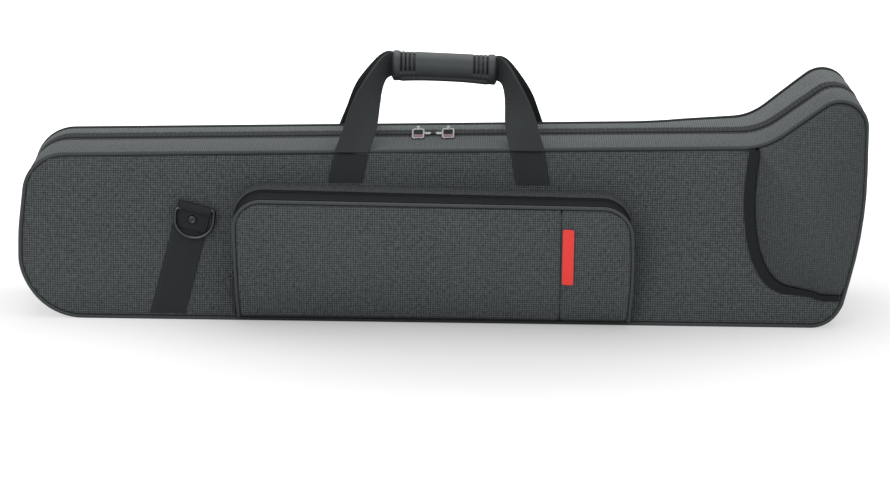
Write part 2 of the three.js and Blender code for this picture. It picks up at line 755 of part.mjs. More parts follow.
function pocketFloor() {
  const width = POCKET_RIGHT - POCKET_LEFT + 2 * (POCKET_FRONT_SPREAD - POCKET_PIPING_ROOM - GAP);
  const reach = POCKET_FOOT_DEPTH - FABRIC - 2 * GAP;
  return box(width, reach, FABRIC, (POCKET_LEFT + POCKET_RIGHT) / 2,
    -(POCKET_BACK + GAP + reach / 2), POCKET_FOOT + FABRIC / 2);
}

function addPocket(lid) {
  const zipAt = (depth) => depth * POCKET_ZIP_SHARE;
  part(lid, 'pocket_gusset', rimBand(() => 0, (depth) => depth * POCKET_GUSSET_SHARE), 'gusset');
  part(lid, 'pocket_zip_tape_rear', rimBand(
    (depth) => depth * POCKET_GUSSET_SHARE + GAP,
    (depth) => zipAt(depth) - HALF_GAP), 'tape');
  const flap = new THREE.Group();
  lid.add(flap);
  part(flap, 'pocket_zip_tape_front', rimBand(
    (depth) => zipAt(depth) + HALF_GAP,
    (depth) => depth - POCKET_PIPING_ROOM), 'tape');
  part(flap, 'pocket_piping', pocketPiping(), 'piping');
  part(flap, 'pocket_front_panel', pocketPanel(true), 'weave');
  part(flap, 'pocket_side_panel', pocketPanel(false), 'weave');
  part(flap, 'pocket_floor', pocketFloor(), 'gusset');
  part(flap, 'pocket_label', pocketLabel(), 'label');
}

// Handle: sewn webbing on the panels, a loop on each shell and half of the grip on each loop
function sewnStrap(side, x, foot) {
  const lean = Math.sign(x) * HANDLE_SEWN_SPLAY * ((HANDLE_PIVOT_HEIGHT - foot) / HANDLE_PIVOT_HEIGHT);
  const top = topAt(x) - PIPING_RADIUS;
  const half = WEBBING_WIDTH / 2;
  const outline = [[x - half, top], [x + half, top], [x + half + lean, foot], [x - half + lean, foot]];
  const face = side * (depthAt(side, x) + GAP);
  return prism(outline, WEBBING, 'y').translate(0, side === FRONT ? face : face + WEBBING, 0);
}

const LEG_SHARES = [0, 0.33, 0.67, 1];

function loopSections(side) {
  const half = WEBBING_WIDTH / 2;
  const fold = HANDLE_FOLDED_WIDTH / 2;
  const foldedHalf = (GRIP_SLOT_DEPTH - 2 * GAP) / 2;
  const gripY = side * (GAP + foldedHalf);
  const gripEnd = GRIP_LENGTH / 2;
  const turnY = side * GRIP_RADIUS * HANDLE_TURN_SHARE;
  const footY = side * (depthAt(side, 0) + GAP + 2 * WEBBING);
  const up = new THREE.Vector3(0, 0, 1);
  const legs = [-1, 1].map((end) => {
    const x = end < 0 ? HANDLE_LEFT_X : HANDLE_RIGHT_X;
    const foot = new THREE.Vector3(x, footY, topAt(x) + GAP - PIPING_RADIUS + WEBBING);
    const head = new THREE.Vector3(end * (gripEnd + GRIP_RADIUS / 2), turnY, GRIP_HEIGHT);
    const ahead = head.clone().sub(foot).multiplyScalar(-end);
    const across = new THREE.Vector3(end, 0, 0);
    const sections = LEG_SHARES.map((share) => ({
      centre: foot.clone().lerp(head, share),
      width: across.clone().lerp(up, share).setLength(half + (fold - half) * share),
      ahead,
      thickness: WEBBING / 2 + (foldedHalf - WEBBING / 2) * share,
    }));
    return end < 0 ? sections : sections.reverse();
  });
  const middle = [-1, 1].map((end) => ({
    centre: new THREE.Vector3(end * (gripEnd - GAP), gripY, GRIP_HEIGHT),
    width: up.clone().setLength(fold),
    ahead: new THREE.Vector3(1, 0, 0),
    thickness: foldedHalf,
  }));
  return [...legs[0], ...middle, ...legs[1]];
}

function handleLoop(side) {
  return sweep(loopSections(side).map(({ centre, width, ahead, thickness }) => {
    const out = width.clone().cross(ahead).setLength(thickness);
    return [
      centre.clone().add(width).add(out),
      centre.clone().add(width).sub(out),
      centre.clone().sub(width).sub(out),
      centre.clone().sub(width).add(out),
    ];
  }));
}

function gripHalf(side) {
  const steps = ROUND_SIDES / 2;
  const round = Array.from({ length: steps + 1 }, (unused, k) => {
    const angle = Math.PI / 2 - (Math.PI * k) / steps;
    return [side * (HALF_GAP + GRIP_RADIUS * Math.cos(angle)), GRIP_HEIGHT + GRIP_RADIUS * Math.sin(angle)];
  });
  const slotHalf = GRIP_SLOT_HEIGHT / 2;
  const profile = [
    ...round,
    [side * HALF_GAP, GRIP_HEIGHT - slotHalf],
    [side * (HALF_GAP + GRIP_SLOT_DEPTH), GRIP_HEIGHT - slotHalf],
    [side * (HALF_GAP + GRIP_SLOT_DEPTH), GRIP_HEIGHT + slotHalf],
    [side * HALF_GAP, GRIP_HEIGHT + slotHalf],
  ];
  return prism(profile, GRIP_LENGTH, 'x').translate(-GRIP_LENGTH / 2, 0, 0);
}

function addHandle(shell, side, prefix, sewnFoot) {
  part(shell, `handle_webbing_${prefix}_left`, sewnStrap(side, HANDLE_LEFT_X, sewnFoot), 'webbing');
  part(shell, `handle_webbing_${prefix}_right`, sewnStrap(side, HANDLE_RIGHT_X, sewnFoot), 'webbing');
  const loop = new THREE.Group();
  shell.add(loop);
  part(loop, `handle_loop_${prefix}`, handleLoop(side), 'webbing');
  part(loop, `grip_${prefix}`, gripHalf(side), 'rubber');
}

// Main zip sliders: a plate over both tapes, a bridge along it and a pull that hangs to the front
function sliderBody(end) {
  const bridgeLength = SLIDER_LENGTH * SLIDER_BRIDGE_SHARE;
  const bridgeX = end * SLIDER_LENGTH * SLIDER_BRIDGE_OFFSET_SHARE;
  const halfBridge = bridgeLength / 2;
  const top = SLIDER_PLATE + SLIDER_BRIDGE_HEIGHT;
  const plate = box(SLIDER_LENGTH, SLIDER_WIDTH, SLIDER_PLATE, 0, 0, SLIDER_PLATE / 2);
  const arch = prism([
    [bridgeX - halfBridge, SLIDER_PLATE / 2],
    [bridgeX - halfBridge, top],
    [bridgeX + halfBridge, top],
    [bridgeX + halfBridge, SLIDER_PLATE / 2],
    [bridgeX + halfBridge - SLIDER_BRIDGE, SLIDER_PLATE / 2],
    [bridgeX + halfBridge - SLIDER_BRIDGE, top - SLIDER_BRIDGE],
    [bridgeX - halfBridge + SLIDER_BRIDGE, top - SLIDER_BRIDGE],
    [bridgeX - halfBridge + SLIDER_BRIDGE, SLIDER_PLATE / 2],
  ], SLIDER_BRIDGE, 'y').translate(0, SLIDER_BRIDGE / 2, 0);
  return geometryOf(solid(plate).add(solid(arch)));
}

function pullTab(length, width, window) {
  const eyeRadius = PULL_EYE_RADIUS + PULL / 2;
  const eyeWidth = width * PULL_EYE_SHARE;
  const ring = prism(ringPoints(eyeRadius), eyeWidth, 'x', [circleHole(0, 0, PULL_EYE_RADIUS, WIRE_SIDES)]);
  const neck = box(eyeWidth, PULL, PULL, 0, -eyeRadius, 0);
  const plate = box(width, length - eyeRadius, PULL, 0, -(length + eyeRadius) / 2, 0);
  const body = solid(ring.translate(-eyeWidth / 2, 0, 0)).add(solid(neck)).add(solid(plate));
  if (!window) return geometryOf(body);
  const cut = box(window.width, window.length, 2 * PULL, 0, -(eyeRadius + PULL + window.length / 2), 0);
  return geometryOf(body.subtract(solid(cut)));
}

function ringPoints(radius) {
  return Array.from({ length: WIRE_SIDES }, (unused, k) => {
    const angle = (2 * Math.PI * (k + 0.5)) / WIRE_SIDES;
    return [radius * Math.cos(angle), radius * Math.sin(angle)];
  });
}

function addSlider(group, end, name) {
  const along = Math.atan2(topAt(HANDLE_RIGHT_X) - topAt(HANDLE_LEFT_X), HANDLE_RIGHT_X - HANDLE_LEFT_X);
  const x = SLIDER_MEETING_X + end * (SLIDER_LENGTH / 2 + GAP);
  const slider = new THREE.Group();
  slider.position.set(x, 0, topAt(x) + GAP);
  slider.rotation.y = -along;
  group.add(slider);
  part(slider, `slider_${name}`, sliderBody(end), 'nickel');
  const pull = new THREE.Group();
  const bridgeX = end * SLIDER_LENGTH * SLIDER_BRIDGE_OFFSET_SHARE;
  pull.position.set(bridgeX, 0, SLIDER_PLATE + SLIDER_BRIDGE_HEIGHT - SLIDER_BRIDGE / 2);
  pull.rotation.x = THREE.MathUtils.degToRad(PULL_DROOP_DEGREES);
  slider.add(pull);
  const window = { width: PULL_WINDOW_WIDTH, length: PULL_WINDOW_LENGTH };
  part(pull, `pull_${name}`, pullTab(PULL_LENGTH, PULL_WIDTH, window), 'nickel');
}

// Pocket zip slider, which climbs the pocket's left side, and its pull
function addPocketSlider(lid) {
  const depth = pocketDepth(POCKET_SLIDER_HEIGHT);
  const low = depth * POCKET_ZIP_SHARE;
  const spread = (POCKET_FRONT_SPREAD * (low + POCKET_SLIDER_WIDTH / 2)) / depth;
  const highAt = POCKET_SLIDER_HEIGHT + 4 * POCKET_SLIDER_LENGTH;
  const high = pocketDepth(highAt) * POCKET_ZIP_SHARE;
  const slider = new THREE.Group();
  slider.position.set(POCKET_LEFT - spread - GAP, -(POCKET_BACK + low), POCKET_SLIDER_HEIGHT);
  slider.rotation.x = Math.atan2(high - low, highAt - POCKET_SLIDER_HEIGHT);
  lid.add(slider);
  const plate = box(POCKET_SLIDER, POCKET_SLIDER_WIDTH, POCKET_SLIDER_LENGTH, -POCKET_SLIDER / 2, 0, 0);
  const eyeOut = POCKET_SLIDER + PULL_EYE_RADIUS + PULL / 2 + GAP;
  const bar = box(SLIDER_BRIDGE, POCKET_SLIDER_WIDTH, SLIDER_BRIDGE, -eyeOut, 0, 0);
  const postLength = eyeOut - POCKET_SLIDER / 2 + SLIDER_BRIDGE / 2;
  const posts = [-1, 1].map((end) => box(postLength, SLIDER_BRIDGE, SLIDER_BRIDGE,
    -POCKET_SLIDER / 2 - postLength / 2, (end * (POCKET_SLIDER_WIDTH - SLIDER_BRIDGE)) / 2, 0));
  const body = posts.reduce((sum, post) => sum.add(solid(post)), solid(plate).add(solid(bar)));
  part(slider, 'pocket_slider', geometryOf(body), 'blackSteel');
  const pull = new THREE.Group();
  pull.position.set(-eyeOut, 0, 0);
  slider.add(pull);
  const tab = pullTab(POCKET_PULL_LENGTH, POCKET_PULL_WIDTH, null);
  tab.applyMatrix4(ACROSS_TO_X);
  part(pull, 'pocket_pull', tab, 'blackSteel');
}

// Rings for a shoulder strap: a webbing tab riveted to the panel and a wire ring through its loop
function ringTab() {
  const slackHalf = (RING_TAB_WIDTH / 2) * Math.tan(THREE.MathUtils.degToRad(RING_TILT_DEGREES - RING_LEAN_DEGREES));
  const bore = RING_WIRE_RADIUS + GAP;
  const round = bore + WEBBING;
  const obround = (radius, sides) => {
    const points = [];
    for (let k = 0; k <= sides; k += 1) {
      const angle = Math.PI / 2 + (Math.PI * k) / sides;
      const shift = 2 * k < sides ? slackHalf : -slackHalf;
      if (2 * k === sides) points.push([RING_BAR_Y + radius * Math.cos(angle), slackHalf]);
      points.push([RING_BAR_Y + radius * Math.cos(angle), shift + radius * Math.sin(angle)]);
    }
    return points;
  };
  const outside = obround(round, WIRE_SIDES);
  const profile = [
    [0, -RING_TAB_LENGTH],
    [0, slackHalf + round],
    ...outside,
    [-2 * WEBBING, -slackHalf - round],
    [-2 * WEBBING, -RING_TAB_LENGTH],
  ];
  const rightHalf = obround(bore, WIRE_SIDES).map(([y, z]) => [2 * RING_BAR_Y - y, -z]);
  const hole = new THREE.Path([...obround(bore, WIRE_SIDES), ...rightHalf]
    .map(([y, z]) => new THREE.Vector2(y, z)));
  return prism(profile, RING_TAB_WIDTH, 'x', [hole]).translate(-RING_TAB_WIDTH / 2, 0, 0);
}

function ringWire() {
  const half = RING_WIDTH / 2 - RING_WIRE_RADIUS;
  const foot = -(RING_REACH - RING_WIRE_RADIUS);
  const path = roundedOutline([
    { x: -half, z: 0, radius: RING_CORNER_RADIUS },
    { x: half, z: 0, radius: RING_CORNER_RADIUS },
    { x: half, z: foot, radius: half * RING_ROUND_SHARE },
    { x: -half, z: foot, radius: half * RING_ROUND_SHARE },
  ]);
  return sweep(path.map((point) => Array.from({ length: WIRE_SIDES }, (unused, k) => {
    const angle = (2 * Math.PI * k) / WIRE_SIDES;
    const out = RING_WIRE_RADIUS * Math.cos(angle);
    return new THREE.Vector3(
      point.x + point.nx * out, RING_WIRE_RADIUS * Math.sin(angle), point.z + point.nz * out);
  })), true);
}

function addRing(group, prefix, place, turn) {
  const holder = new THREE.Group();
  holder.position.copy(place);
  holder.rotation.z = turn;
  group.add(holder);
  const sewn = new THREE.Group();
  sewn.rotation.y = THREE.MathUtils.degToRad(RING_TILT_DEGREES);
  holder.add(sewn);
  part(sewn, `ring_tab_${prefix}`, ringTab(), 'webbing');
  const crown = RIVET_RADIUS * RIVET_CROWN_SHARE;
  const rivet = new THREE.CylinderGeometry(RIVET_RADIUS, crown, RIVET_HEIGHT, WIRE_SIDES);
  rivet.translate(0, -2 * WEBBING - GAP - RIVET_HEIGHT / 2, -RING_TAB_LENGTH * RIVET_PLACE_SHARE);
  part(sewn, `ring_rivet_${prefix}`, rivet, 'blackSteel');
  const ring = new THREE.Group();
  ring.position.set(0, RING_BAR_Y, 0);
  ring.rotation.y = THREE.MathUtils.degToRad(RING_LEAN_DEGREES);
  holder.add(ring);
  part(ring, `d_ring_${prefix}`, ringWire(), 'blackSteel');
}

function ringStrap() {
  const lean = Math.tan(THREE.MathUtils.degToRad(RING_TILT_DEGREES));
  const half = WEBBING_WIDTH / 2 / Math.cos(THREE.MathUtils.degToRad(RING_TILT_DEGREES));
  const top = RING_HEIGHT + RING_STRAP_PAST_RING;
  const acrossAt = (z) => RING_X + (z - RING_HEIGHT) * lean;
  const outline = [
    [acrossAt(RING_STRAP_FOOT) - half, RING_STRAP_FOOT],
    [acrossAt(top) - half, top],
    [acrossAt(top) + half, top - 2 * half * lean],
    [acrossAt(RING_STRAP_FOOT) + half, RING_STRAP_FOOT],
  ];
  return prism(outline, WEBBING, 'y').translate(0, -(FRONT_DEPTH + GAP), 0);
}

// Inside: padded cradles with round notches for the tubes, straps over them, a box and a holder
function cradle(x, back, face, shoulder, notches) {
  const out = Math.sign(face - back);
  const foot = LINED_INSET + GAP;
  const upper = notches[notches.length - 1];
  const top = upper.height + upper.radius + shoulder;
  const profile = [[back, top], [back, foot], [face, foot]];
  notches.forEach(({ height, radius }) => {
    for (let k = 0; k <= ROUND_SIDES / 2; k += 1) {
      const angle = -Math.PI / 2 + (2 * Math.PI * k) / ROUND_SIDES;
      profile.push([face - out * radius * Math.cos(angle), height + radius * Math.sin(angle)]);
    }
  });
  profile.push([face, top]);
  return prism(profile, CRADLE_WIDTH, 'x').translate(x - CRADLE_WIDTH / 2, 0, 0);
}

const REAR_FLOOR = REAR_DEPTH - LINED_INSET - GAP;
const FRONT_FLOOR = -(FRONT_DEPTH - LINED_INSET - GAP);

function addBaseFittings(base) {
  part(base, 'neck_cradle', cradle(NECK_CRADLE_X, REAR_FLOOR, BELL_AXIS_Y, NECK_CRADLE_SHOULDER, [
    { height: TUBE_HEIGHT, radius: TUBE_NOTCH_RADIUS },
    { height: BELL_AXIS_HEIGHT, radius: NECK_NOTCH_RADIUS },
  ]), 'plush');
  part(base, 'bow_cradle', cradle(BOW_CRADLE_X, REAR_FLOOR, BELL_AXIS_Y, BOW_CRADLE_SHOULDER, [
    { height: TUBE_HEIGHT, radius: TUBE_NOTCH_RADIUS },
    { height: BELL_AXIS_HEIGHT, radius: TUBE_NOTCH_RADIUS },
  ]), 'plush');
  part(base, 'neck_strap', box(STRAP_WIDTH, STRAP, NECK_STRAP_LENGTH,
    NECK_CRADLE_X, BELL_AXIS_Y - GAP - STRAP / 2, BELL_AXIS_HEIGHT), 'webbing');

  const boxDepth = REAR_FLOOR - BOX_FACE;
  const shell = solid(box(BOX_LENGTH, boxDepth, BOX_HEIGHT,
    BOX_LEFT + BOX_LENGTH / 2, REAR_FLOOR - boxDepth / 2, BOX_FOOT + BOX_HEIGHT / 2));
  const hollow = solid(box(BOX_LENGTH - 2 * BOX_WALL, boxDepth, BOX_HEIGHT - 2 * BOX_WALL,
    BOX_LEFT + BOX_LENGTH / 2, REAR_FLOOR - boxDepth / 2 - BOX_WALL, BOX_FOOT + BOX_HEIGHT / 2));
  part(base, 'accessory_box', geometryOf(shell.subtract(hollow)), 'plush');
  part(base, 'accessory_lid', box(BOX_LENGTH, BOX_LID, BOX_HEIGHT,
    BOX_LEFT + BOX_LENGTH / 2, BOX_FACE - GAP - BOX_LID / 2, BOX_FOOT + BOX_HEIGHT / 2), 'plush');

  const holderFace = REAR_FLOOR - HOLDER_DEPTH;
  const holder = solid(box(HOLDER_SIZE, HOLDER_DEPTH, HOLDER_SIZE,
    HOLDER_X, REAR_FLOOR - HOLDER_DEPTH / 2, HOLDER_HEIGHT));
  const bore = new THREE.CylinderGeometry(HOLDER_BORE_RADIUS, HOLDER_BORE_RADIUS,
    2 * HOLDER_BORE_DEPTH, ROUND_SIDES).translate(HOLDER_X, holderFace, HOLDER_HEIGHT);
  part(base, 'mouthpiece_holder', geometryOf(holder.subtract(solid(bore))), 'plush');
}

function addLidFittings(lid) {
  const foot = LINED_INSET + GAP + STRAP_SET_IN;
  const length = SLIDE_UPPER_HEIGHT + TUBE_NOTCH_RADIUS + SLIDE_CRADLE_SHOULDER - STRAP_SET_IN - foot;
  const sides = {
    left: SLIDE_END_X + SLIDE_CRADLE_FROM_SLIDE_END,
    right: BELL_END_X - SLIDE_CRADLE_FROM_BELL_END,
  };
  Object.entries(sides).forEach(([name, x]) => {
    part(lid, `slide_cradle_${name}`, cradle(x, FRONT_FLOOR, -SLIDE_CRADLE_FACE, SLIDE_CRADLE_SHOULDER, [
      { height: TUBE_HEIGHT, radius: TUBE_NOTCH_RADIUS },
      { height: SLIDE_UPPER_HEIGHT, radius: TUBE_NOTCH_RADIUS },
    ]), 'plush');
    part(lid, `slide_strap_${name}`, box(STRAP_WIDTH, STRAP, length,
      x, -SLIDE_CRADLE_FACE + GAP + STRAP / 2, foot + length / 2), 'webbing');
  });
}

// The case: the rear shell is the base, and the front shell is the lid
const trombone_case = new THREE.Group();
const base = new THREE.Group();
const lid = new THREE.Group();
trombone_case.add(base, lid);

addShell(base, REAR, 'rear');
part(base, 'rear_panel', facePlate(REAR, FABRIC, PIPING_ROOM), 'weave');
addBaseFittings(base);
addHandle(base, REAR, 'rear', HANDLE_PIVOT_HEIGHT - HANDLE_REAR_SEWN_LENGTH);
addRing(base, 'rear', new THREE.Vector3(REAR_RING_X, REAR_DEPTH + GAP, RING_HEIGHT), Math.PI);

addShell(lid, FRONT, 'front');
part(lid, 'front_panel', frontPanel(), 'weave');
part(lid, 'bell_gore', bellGore(), 'weave');
part(lid, 'bell_tape', bellTape(), 'tape');
addLidFittings(lid);
addHandle(lid, FRONT, 'front', POCKET_SEAM_LEFT_TOP + GAP);
part(lid, 'ring_strap', ringStrap(), 'webbing');
addRing(lid, 'front', new THREE.Vector3(RING_X, -(FRONT_DEPTH + 2 * GAP + WEBBING), RING_HEIGHT), 0);
addPocket(lid);
addPocketSlider(lid);

addSlider(base, -1, 'left');
addSlider(base, 1, 'right');

// Centred front to back
const bounds = new THREE.Box3().setFromObject(trombone_case, true);
trombone_case.position.y = -(bounds.min.y + bounds.max.y) / 2;

export default trombone_case;
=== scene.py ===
"""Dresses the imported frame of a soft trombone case: two foam shells under woven fabric, hinged along
the spine and zipped round the ends and the top, with a front pocket and a webbing handle."""

import math
from collections import namedtuple

import bmesh
import bpy
from bpy.props import FloatProperty, FloatVectorProperty, PointerProperty
from mathutils import Matrix, Vector


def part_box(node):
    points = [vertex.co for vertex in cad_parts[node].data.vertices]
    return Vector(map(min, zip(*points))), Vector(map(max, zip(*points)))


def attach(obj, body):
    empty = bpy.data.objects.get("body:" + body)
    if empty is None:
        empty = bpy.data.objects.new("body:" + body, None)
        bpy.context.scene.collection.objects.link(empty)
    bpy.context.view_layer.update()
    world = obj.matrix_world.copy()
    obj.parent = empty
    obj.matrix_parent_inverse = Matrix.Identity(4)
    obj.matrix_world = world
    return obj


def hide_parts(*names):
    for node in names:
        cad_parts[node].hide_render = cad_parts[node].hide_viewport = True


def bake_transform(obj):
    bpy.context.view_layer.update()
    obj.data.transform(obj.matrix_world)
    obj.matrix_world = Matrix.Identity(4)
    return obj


bl_info = {
    "name": "Trombone case",
    "version": (1, 0, 0),
    "blender": (4, 5, 0),
    "location": "3D View > Sidebar > Case",
    "description": "Builds the fabric, webbing and metalwork of a soft trombone case on its packed frame",
    "category": "Object",
}

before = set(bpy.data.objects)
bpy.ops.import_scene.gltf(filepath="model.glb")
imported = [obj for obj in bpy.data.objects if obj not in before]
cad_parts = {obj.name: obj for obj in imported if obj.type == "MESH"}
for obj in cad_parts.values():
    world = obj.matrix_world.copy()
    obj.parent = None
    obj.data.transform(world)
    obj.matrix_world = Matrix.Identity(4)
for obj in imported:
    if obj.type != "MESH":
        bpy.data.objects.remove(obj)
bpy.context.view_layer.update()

FRONT, REAR = -1, 1
ENDS = ((-1, "left"), (1, "right"))

# Outline of the case seen from the front
LEFT_END, RIGHT_END = -0.469, 0.469
SLIDE_END_HEIGHT, NECK_HEIGHT, HUMP_HEIGHT, HUMP_RADIUS = 0.185, 0.204, 0.257, 0.030
RAMP = math.radians(36)
BELL_END_LEAN = 0.029

# Depths of the shells from the plane of the zip
ZIP_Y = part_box("rear_gusset")[0].y - 0.016
FRONT_DEPTH, REAR_DEPTH, REAR_BELL_DEPTH = 0.100, 0.065, 0.122
REAR_FOLD_X = 0.250
REAR_FULLER, REAR_LEAN = 0.009, 0.007
PIPING_ROOM = 0.0052
PIPING_PROUD = {FRONT: 0.0019, REAR: 0.0017}
TAPE_WIDTH = {FRONT: 0.0170, REAR: 0.0260}
ZIP_FOOT = 0.0262

# Pocket
POCKET_LEFT, POCKET_RIGHT, POCKET_FOOT = -0.229, 0.208, 0.007
POCKET_BACK = 0.1003
POCKET_SEAM_X = 0.132

# Gore over the bell
GORE_TOP_X, GORE_FOOT = 0.345, 0.038
GORE_BULGE = 0.034
GORE_MIDDLE = Vector((0.407, 0.128))

# Handle
HANDLE_X = {-1: -0.101, 1: 0.094}
GRIP_Z, GRIP_RADIUS, GRIP_LENGTH = 0.275, 0.0155, 0.115
WEBBING_HALF = 0.019
GROOVES = (0.0327, 0.0374, 0.0420, 0.0467)
GRIP_SEAM_END = 0.86
GRIP_DROOP = math.radians(1.9)

# Sliders and pulls. The bar of the bridge and the eye of the pull share the joint's axis
SLIDERS_MIDDLE_X, SLIDER_FROM_MIDDLE = -0.0115, 0.0128
BRIDGE_FROM_MIDDLE, BRIDGE_HALF, BRIDGE_FOOT, BRIDGE_RISE = 0.004, 0.0052, 0.0010, 0.0052
PULL_AXIS_HEIGHT = BRIDGE_FOOT + BRIDGE_RISE
PULL_DROOP = math.radians(7.5)
EYE_RADIUS, EYE_THICK, EYE_HALF = 0.0024, 0.0008, 0.0021
INLAY_RED = (0.17, 0.075, 0.08)

# Rings for a shoulder strap
RING_X, RING_FOOT, RING_TOP, RING_PIVOT_Z = -0.2736, 0.008, 0.1322, 0.130
RING_TILT, RING_LEAN = math.radians(14), math.radians(4)
RING_HALF, RING_REACH, RING_WIRE = 0.0215, -0.0322, 0.002
RING_REAR_X = 0.180

# How far the straight flats of a strap reach towards its rounded edges
STRAP_EDGE = 0.985

# Camera: its place, its pitch, yaw and roll in degrees, and its lens
CAMERA_PLACE, CAMERA_TURN = (0.0425, -5.235523, 1.162), (11.745, -0.43, 0.7)
FOCAL_PIXELS, PICTURE_WIDTH, SENSOR_WIDTH = 4735.87, 890, 36

ARC_STEP = math.radians(3.5)
SPACING = 0.010

Spot = namedtuple("Spot", "x z nx nz")


class CaseSizes(bpy.types.PropertyGroup):
    """Sizes of the soft work that can be changed without touching the frame"""

    panel_swell: FloatProperty(
        name="Panel swell", description="How far the foam pushes the flat panels out between their seams",
        default=0.0032, min=0.0, max=0.008, unit="LENGTH")
    pocket_swell: FloatProperty(
        name="Pocket swell", description="How far the pocket's front panel swells between its seams",
        default=0.006, min=0.0, max=0.012, unit="LENGTH")
    piping_radius: FloatProperty(
        name="Piping radius", description="Radius of the piping round both shells",
        default=0.0021, min=0.0015, max=0.004, unit="LENGTH")
    pocket_piping_radius: FloatProperty(
        name="Pocket piping radius", description="Radius of the piping round the pocket's front",
        default=0.0018, min=0.0015, max=0.0035, unit="LENGTH")
    fabric: FloatProperty(
        name="Fabric", description="Thickness of the woven fabric with its backing",
        default=0.0012, min=0.0005, max=0.002, unit="LENGTH")
    webbing: FloatProperty(
        name="Webbing", description="Thickness of the webbing",
        default=0.0016, min=0.001, max=0.003, unit="LENGTH")
    weave_pitch: FloatProperty(
        name="Weave pitch", description="Distance from rib to rib of the woven fabric",
        default=0.0026, min=0.0008, max=0.006, unit="LENGTH")
    tooth_pitch: FloatProperty(
        name="Zip tooth pitch", description="Distance from tooth to tooth of the main zip",
        default=0.0026, min=0.0012, max=0.005, unit="LENGTH")


def colour_property(name, description, red, green, blue):
    """A colour given as it looks on the screen, from 0 to 255"""
    linear = [((c / 255 + 0.055) / 1.055) ** 2.4 if c > 10 else c / 255 / 12.92 for c in (red, green, blue)]
    return FloatVectorProperty(name=name, description=description, default=linear, size=3, min=0.0, max=1.0,
                               subtype="COLOR")


class CaseColours(bpy.types.PropertyGroup):
    """Colours of the fabrics, plastics and metals"""

    weave: colour_property("Weave", "Ground of the woven fabric", 38, 41, 42)
    weave_light: colour_property("Weave highlight", "Raised ribs and dots of the woven fabric", 97, 102, 103)
    piping: colour_property("Piping", "Self fabric over the piping cord", 64, 68, 69)
    webbing: colour_property("Webbing", "Handle and ring webbing", 37, 40, 41)
    tape: colour_property("Tape", "Zip tape and seam tape", 30, 32, 33)
    coil: colour_property("Coil", "Nylon teeth of the zips", 11, 12, 13)
    rubber: colour_property("Rubber", "Moulded grip", 49, 53, 55)
    plush: colour_property("Plush", "Lining and cradles", 42, 44, 50)
    foam: colour_property("Foam", "Moulded shells", 66, 68, 70)
    nickel: colour_property("Nickel", "Sliders and pulls of the main zip", 150, 152, 154)
    black_steel: colour_property("Black steel", "Rings, rivets and pocket slider", 46, 49, 52)
    label: colour_property("Label", "Plain ribbon at the pocket's seam", 236, 58, 52)


# Modelling by hand: small steps shared by the pieces


def pick_nothing():
    """Leaves object mode with nothing selected"""
    if bpy.context.object and bpy.context.object.mode != "OBJECT":
        bpy.ops.object.mode_set(mode="OBJECT")
    bpy.ops.object.select_all(action="DESELECT")


def pick(piece):
    """Selects one piece alone"""
    pick_nothing()
    piece.hide_set(False)
    piece.select_set(True)
    bpy.context.view_layer.objects.active = piece


def edit_all():
    """Enters edit mode with everything selected"""
    bpy.ops.object.mode_set(mode="EDIT")
    bpy.ops.mesh.select_all(action="SELECT")


def face_outward():
    """Turns every face outward and leaves edit mode"""
    bpy.ops.mesh.select_all(action="SELECT")
    bpy.ops.mesh.normals_make_consistent(inside=False)
    bpy.ops.object.mode_set(mode="OBJECT")


def started(name):
    """Names the primitive that was just added"""
    piece = bpy.context.object
    piece.name = piece.data.name = name
    return piece


def outlined(name, outline, fill="NGON"):
    """Starts a piece from a face, or from a bare ring of edges, on an outline in X and Z"""
    pick_nothing()
    bpy.ops.mesh.primitive_circle_add(vertices=max(3, len(outline)), fill_type=fill)
    piece = started(name)
    for vertex, (x, z) in zip(piece.data.vertices, outline):
        vertex.co = (x, 0, z)
    return piece


def settle(piece):
    """Puts the piece's place into its mesh"""
    pick(piece)
    bpy.ops.object.transform_apply(location=True, rotation=True, scale=True)
    return piece


def finish_with(piece, kind, **settings):
    """Adds a modifier and applies it"""
    pick(piece)
    modifier = piece.modifiers.new(kind.title(), kind)
    for key, value in settings.items():
        setattr(modifier, key, value)
    bpy.ops.object.modifier_apply(modifier=modifier.name)
    return piece


def smooth(piece, degrees=40):
    """Shades smooth, but for edges sharper than that"""
    pick(piece)
    bpy.ops.object.shade_smooth_by_angle(angle=math.radians(degrees))
    return piece


def bevelled(piece, width, segments=2, degrees=30):
    """Rounds the sharp edges"""
    finish_with(piece, "BEVEL", width=width, segments=segments, limit_method="ANGLE",
                angle_limit=math.radians(degrees), harden_normals=False)
    return smooth(piece, 50)


def joined(name, pieces):
    """One piece of several"""
    pick(pieces[0])
    for piece in pieces[1:]:
        piece.select_set(True)
    bpy.ops.object.join()
    pieces[0].name = pieces[0].data.name = name
    return pieces[0]


def heading(points, k):
    """Direction of a line of points at one of them"""
    return (points[min(k + 1, len(points) - 1)] - points[max(k - 1, 0)]).normalized()


def round_section(sides):
    """Cosine and sine for each side of a round section"""
    turns = [2 * math.pi * k / sides for k in range(sides)]
    return [(math.cos(a), math.sin(a)) for a in turns]


def lengths(points, loop):
    """Running length along points, one more than their number where they close"""
    ends = points + points[:1] if loop else points
    total, found = 0.0, [0.0]
    for a, b in zip(ends, ends[1:]):
        total += (b - a).length
        found.append(total)
    return found


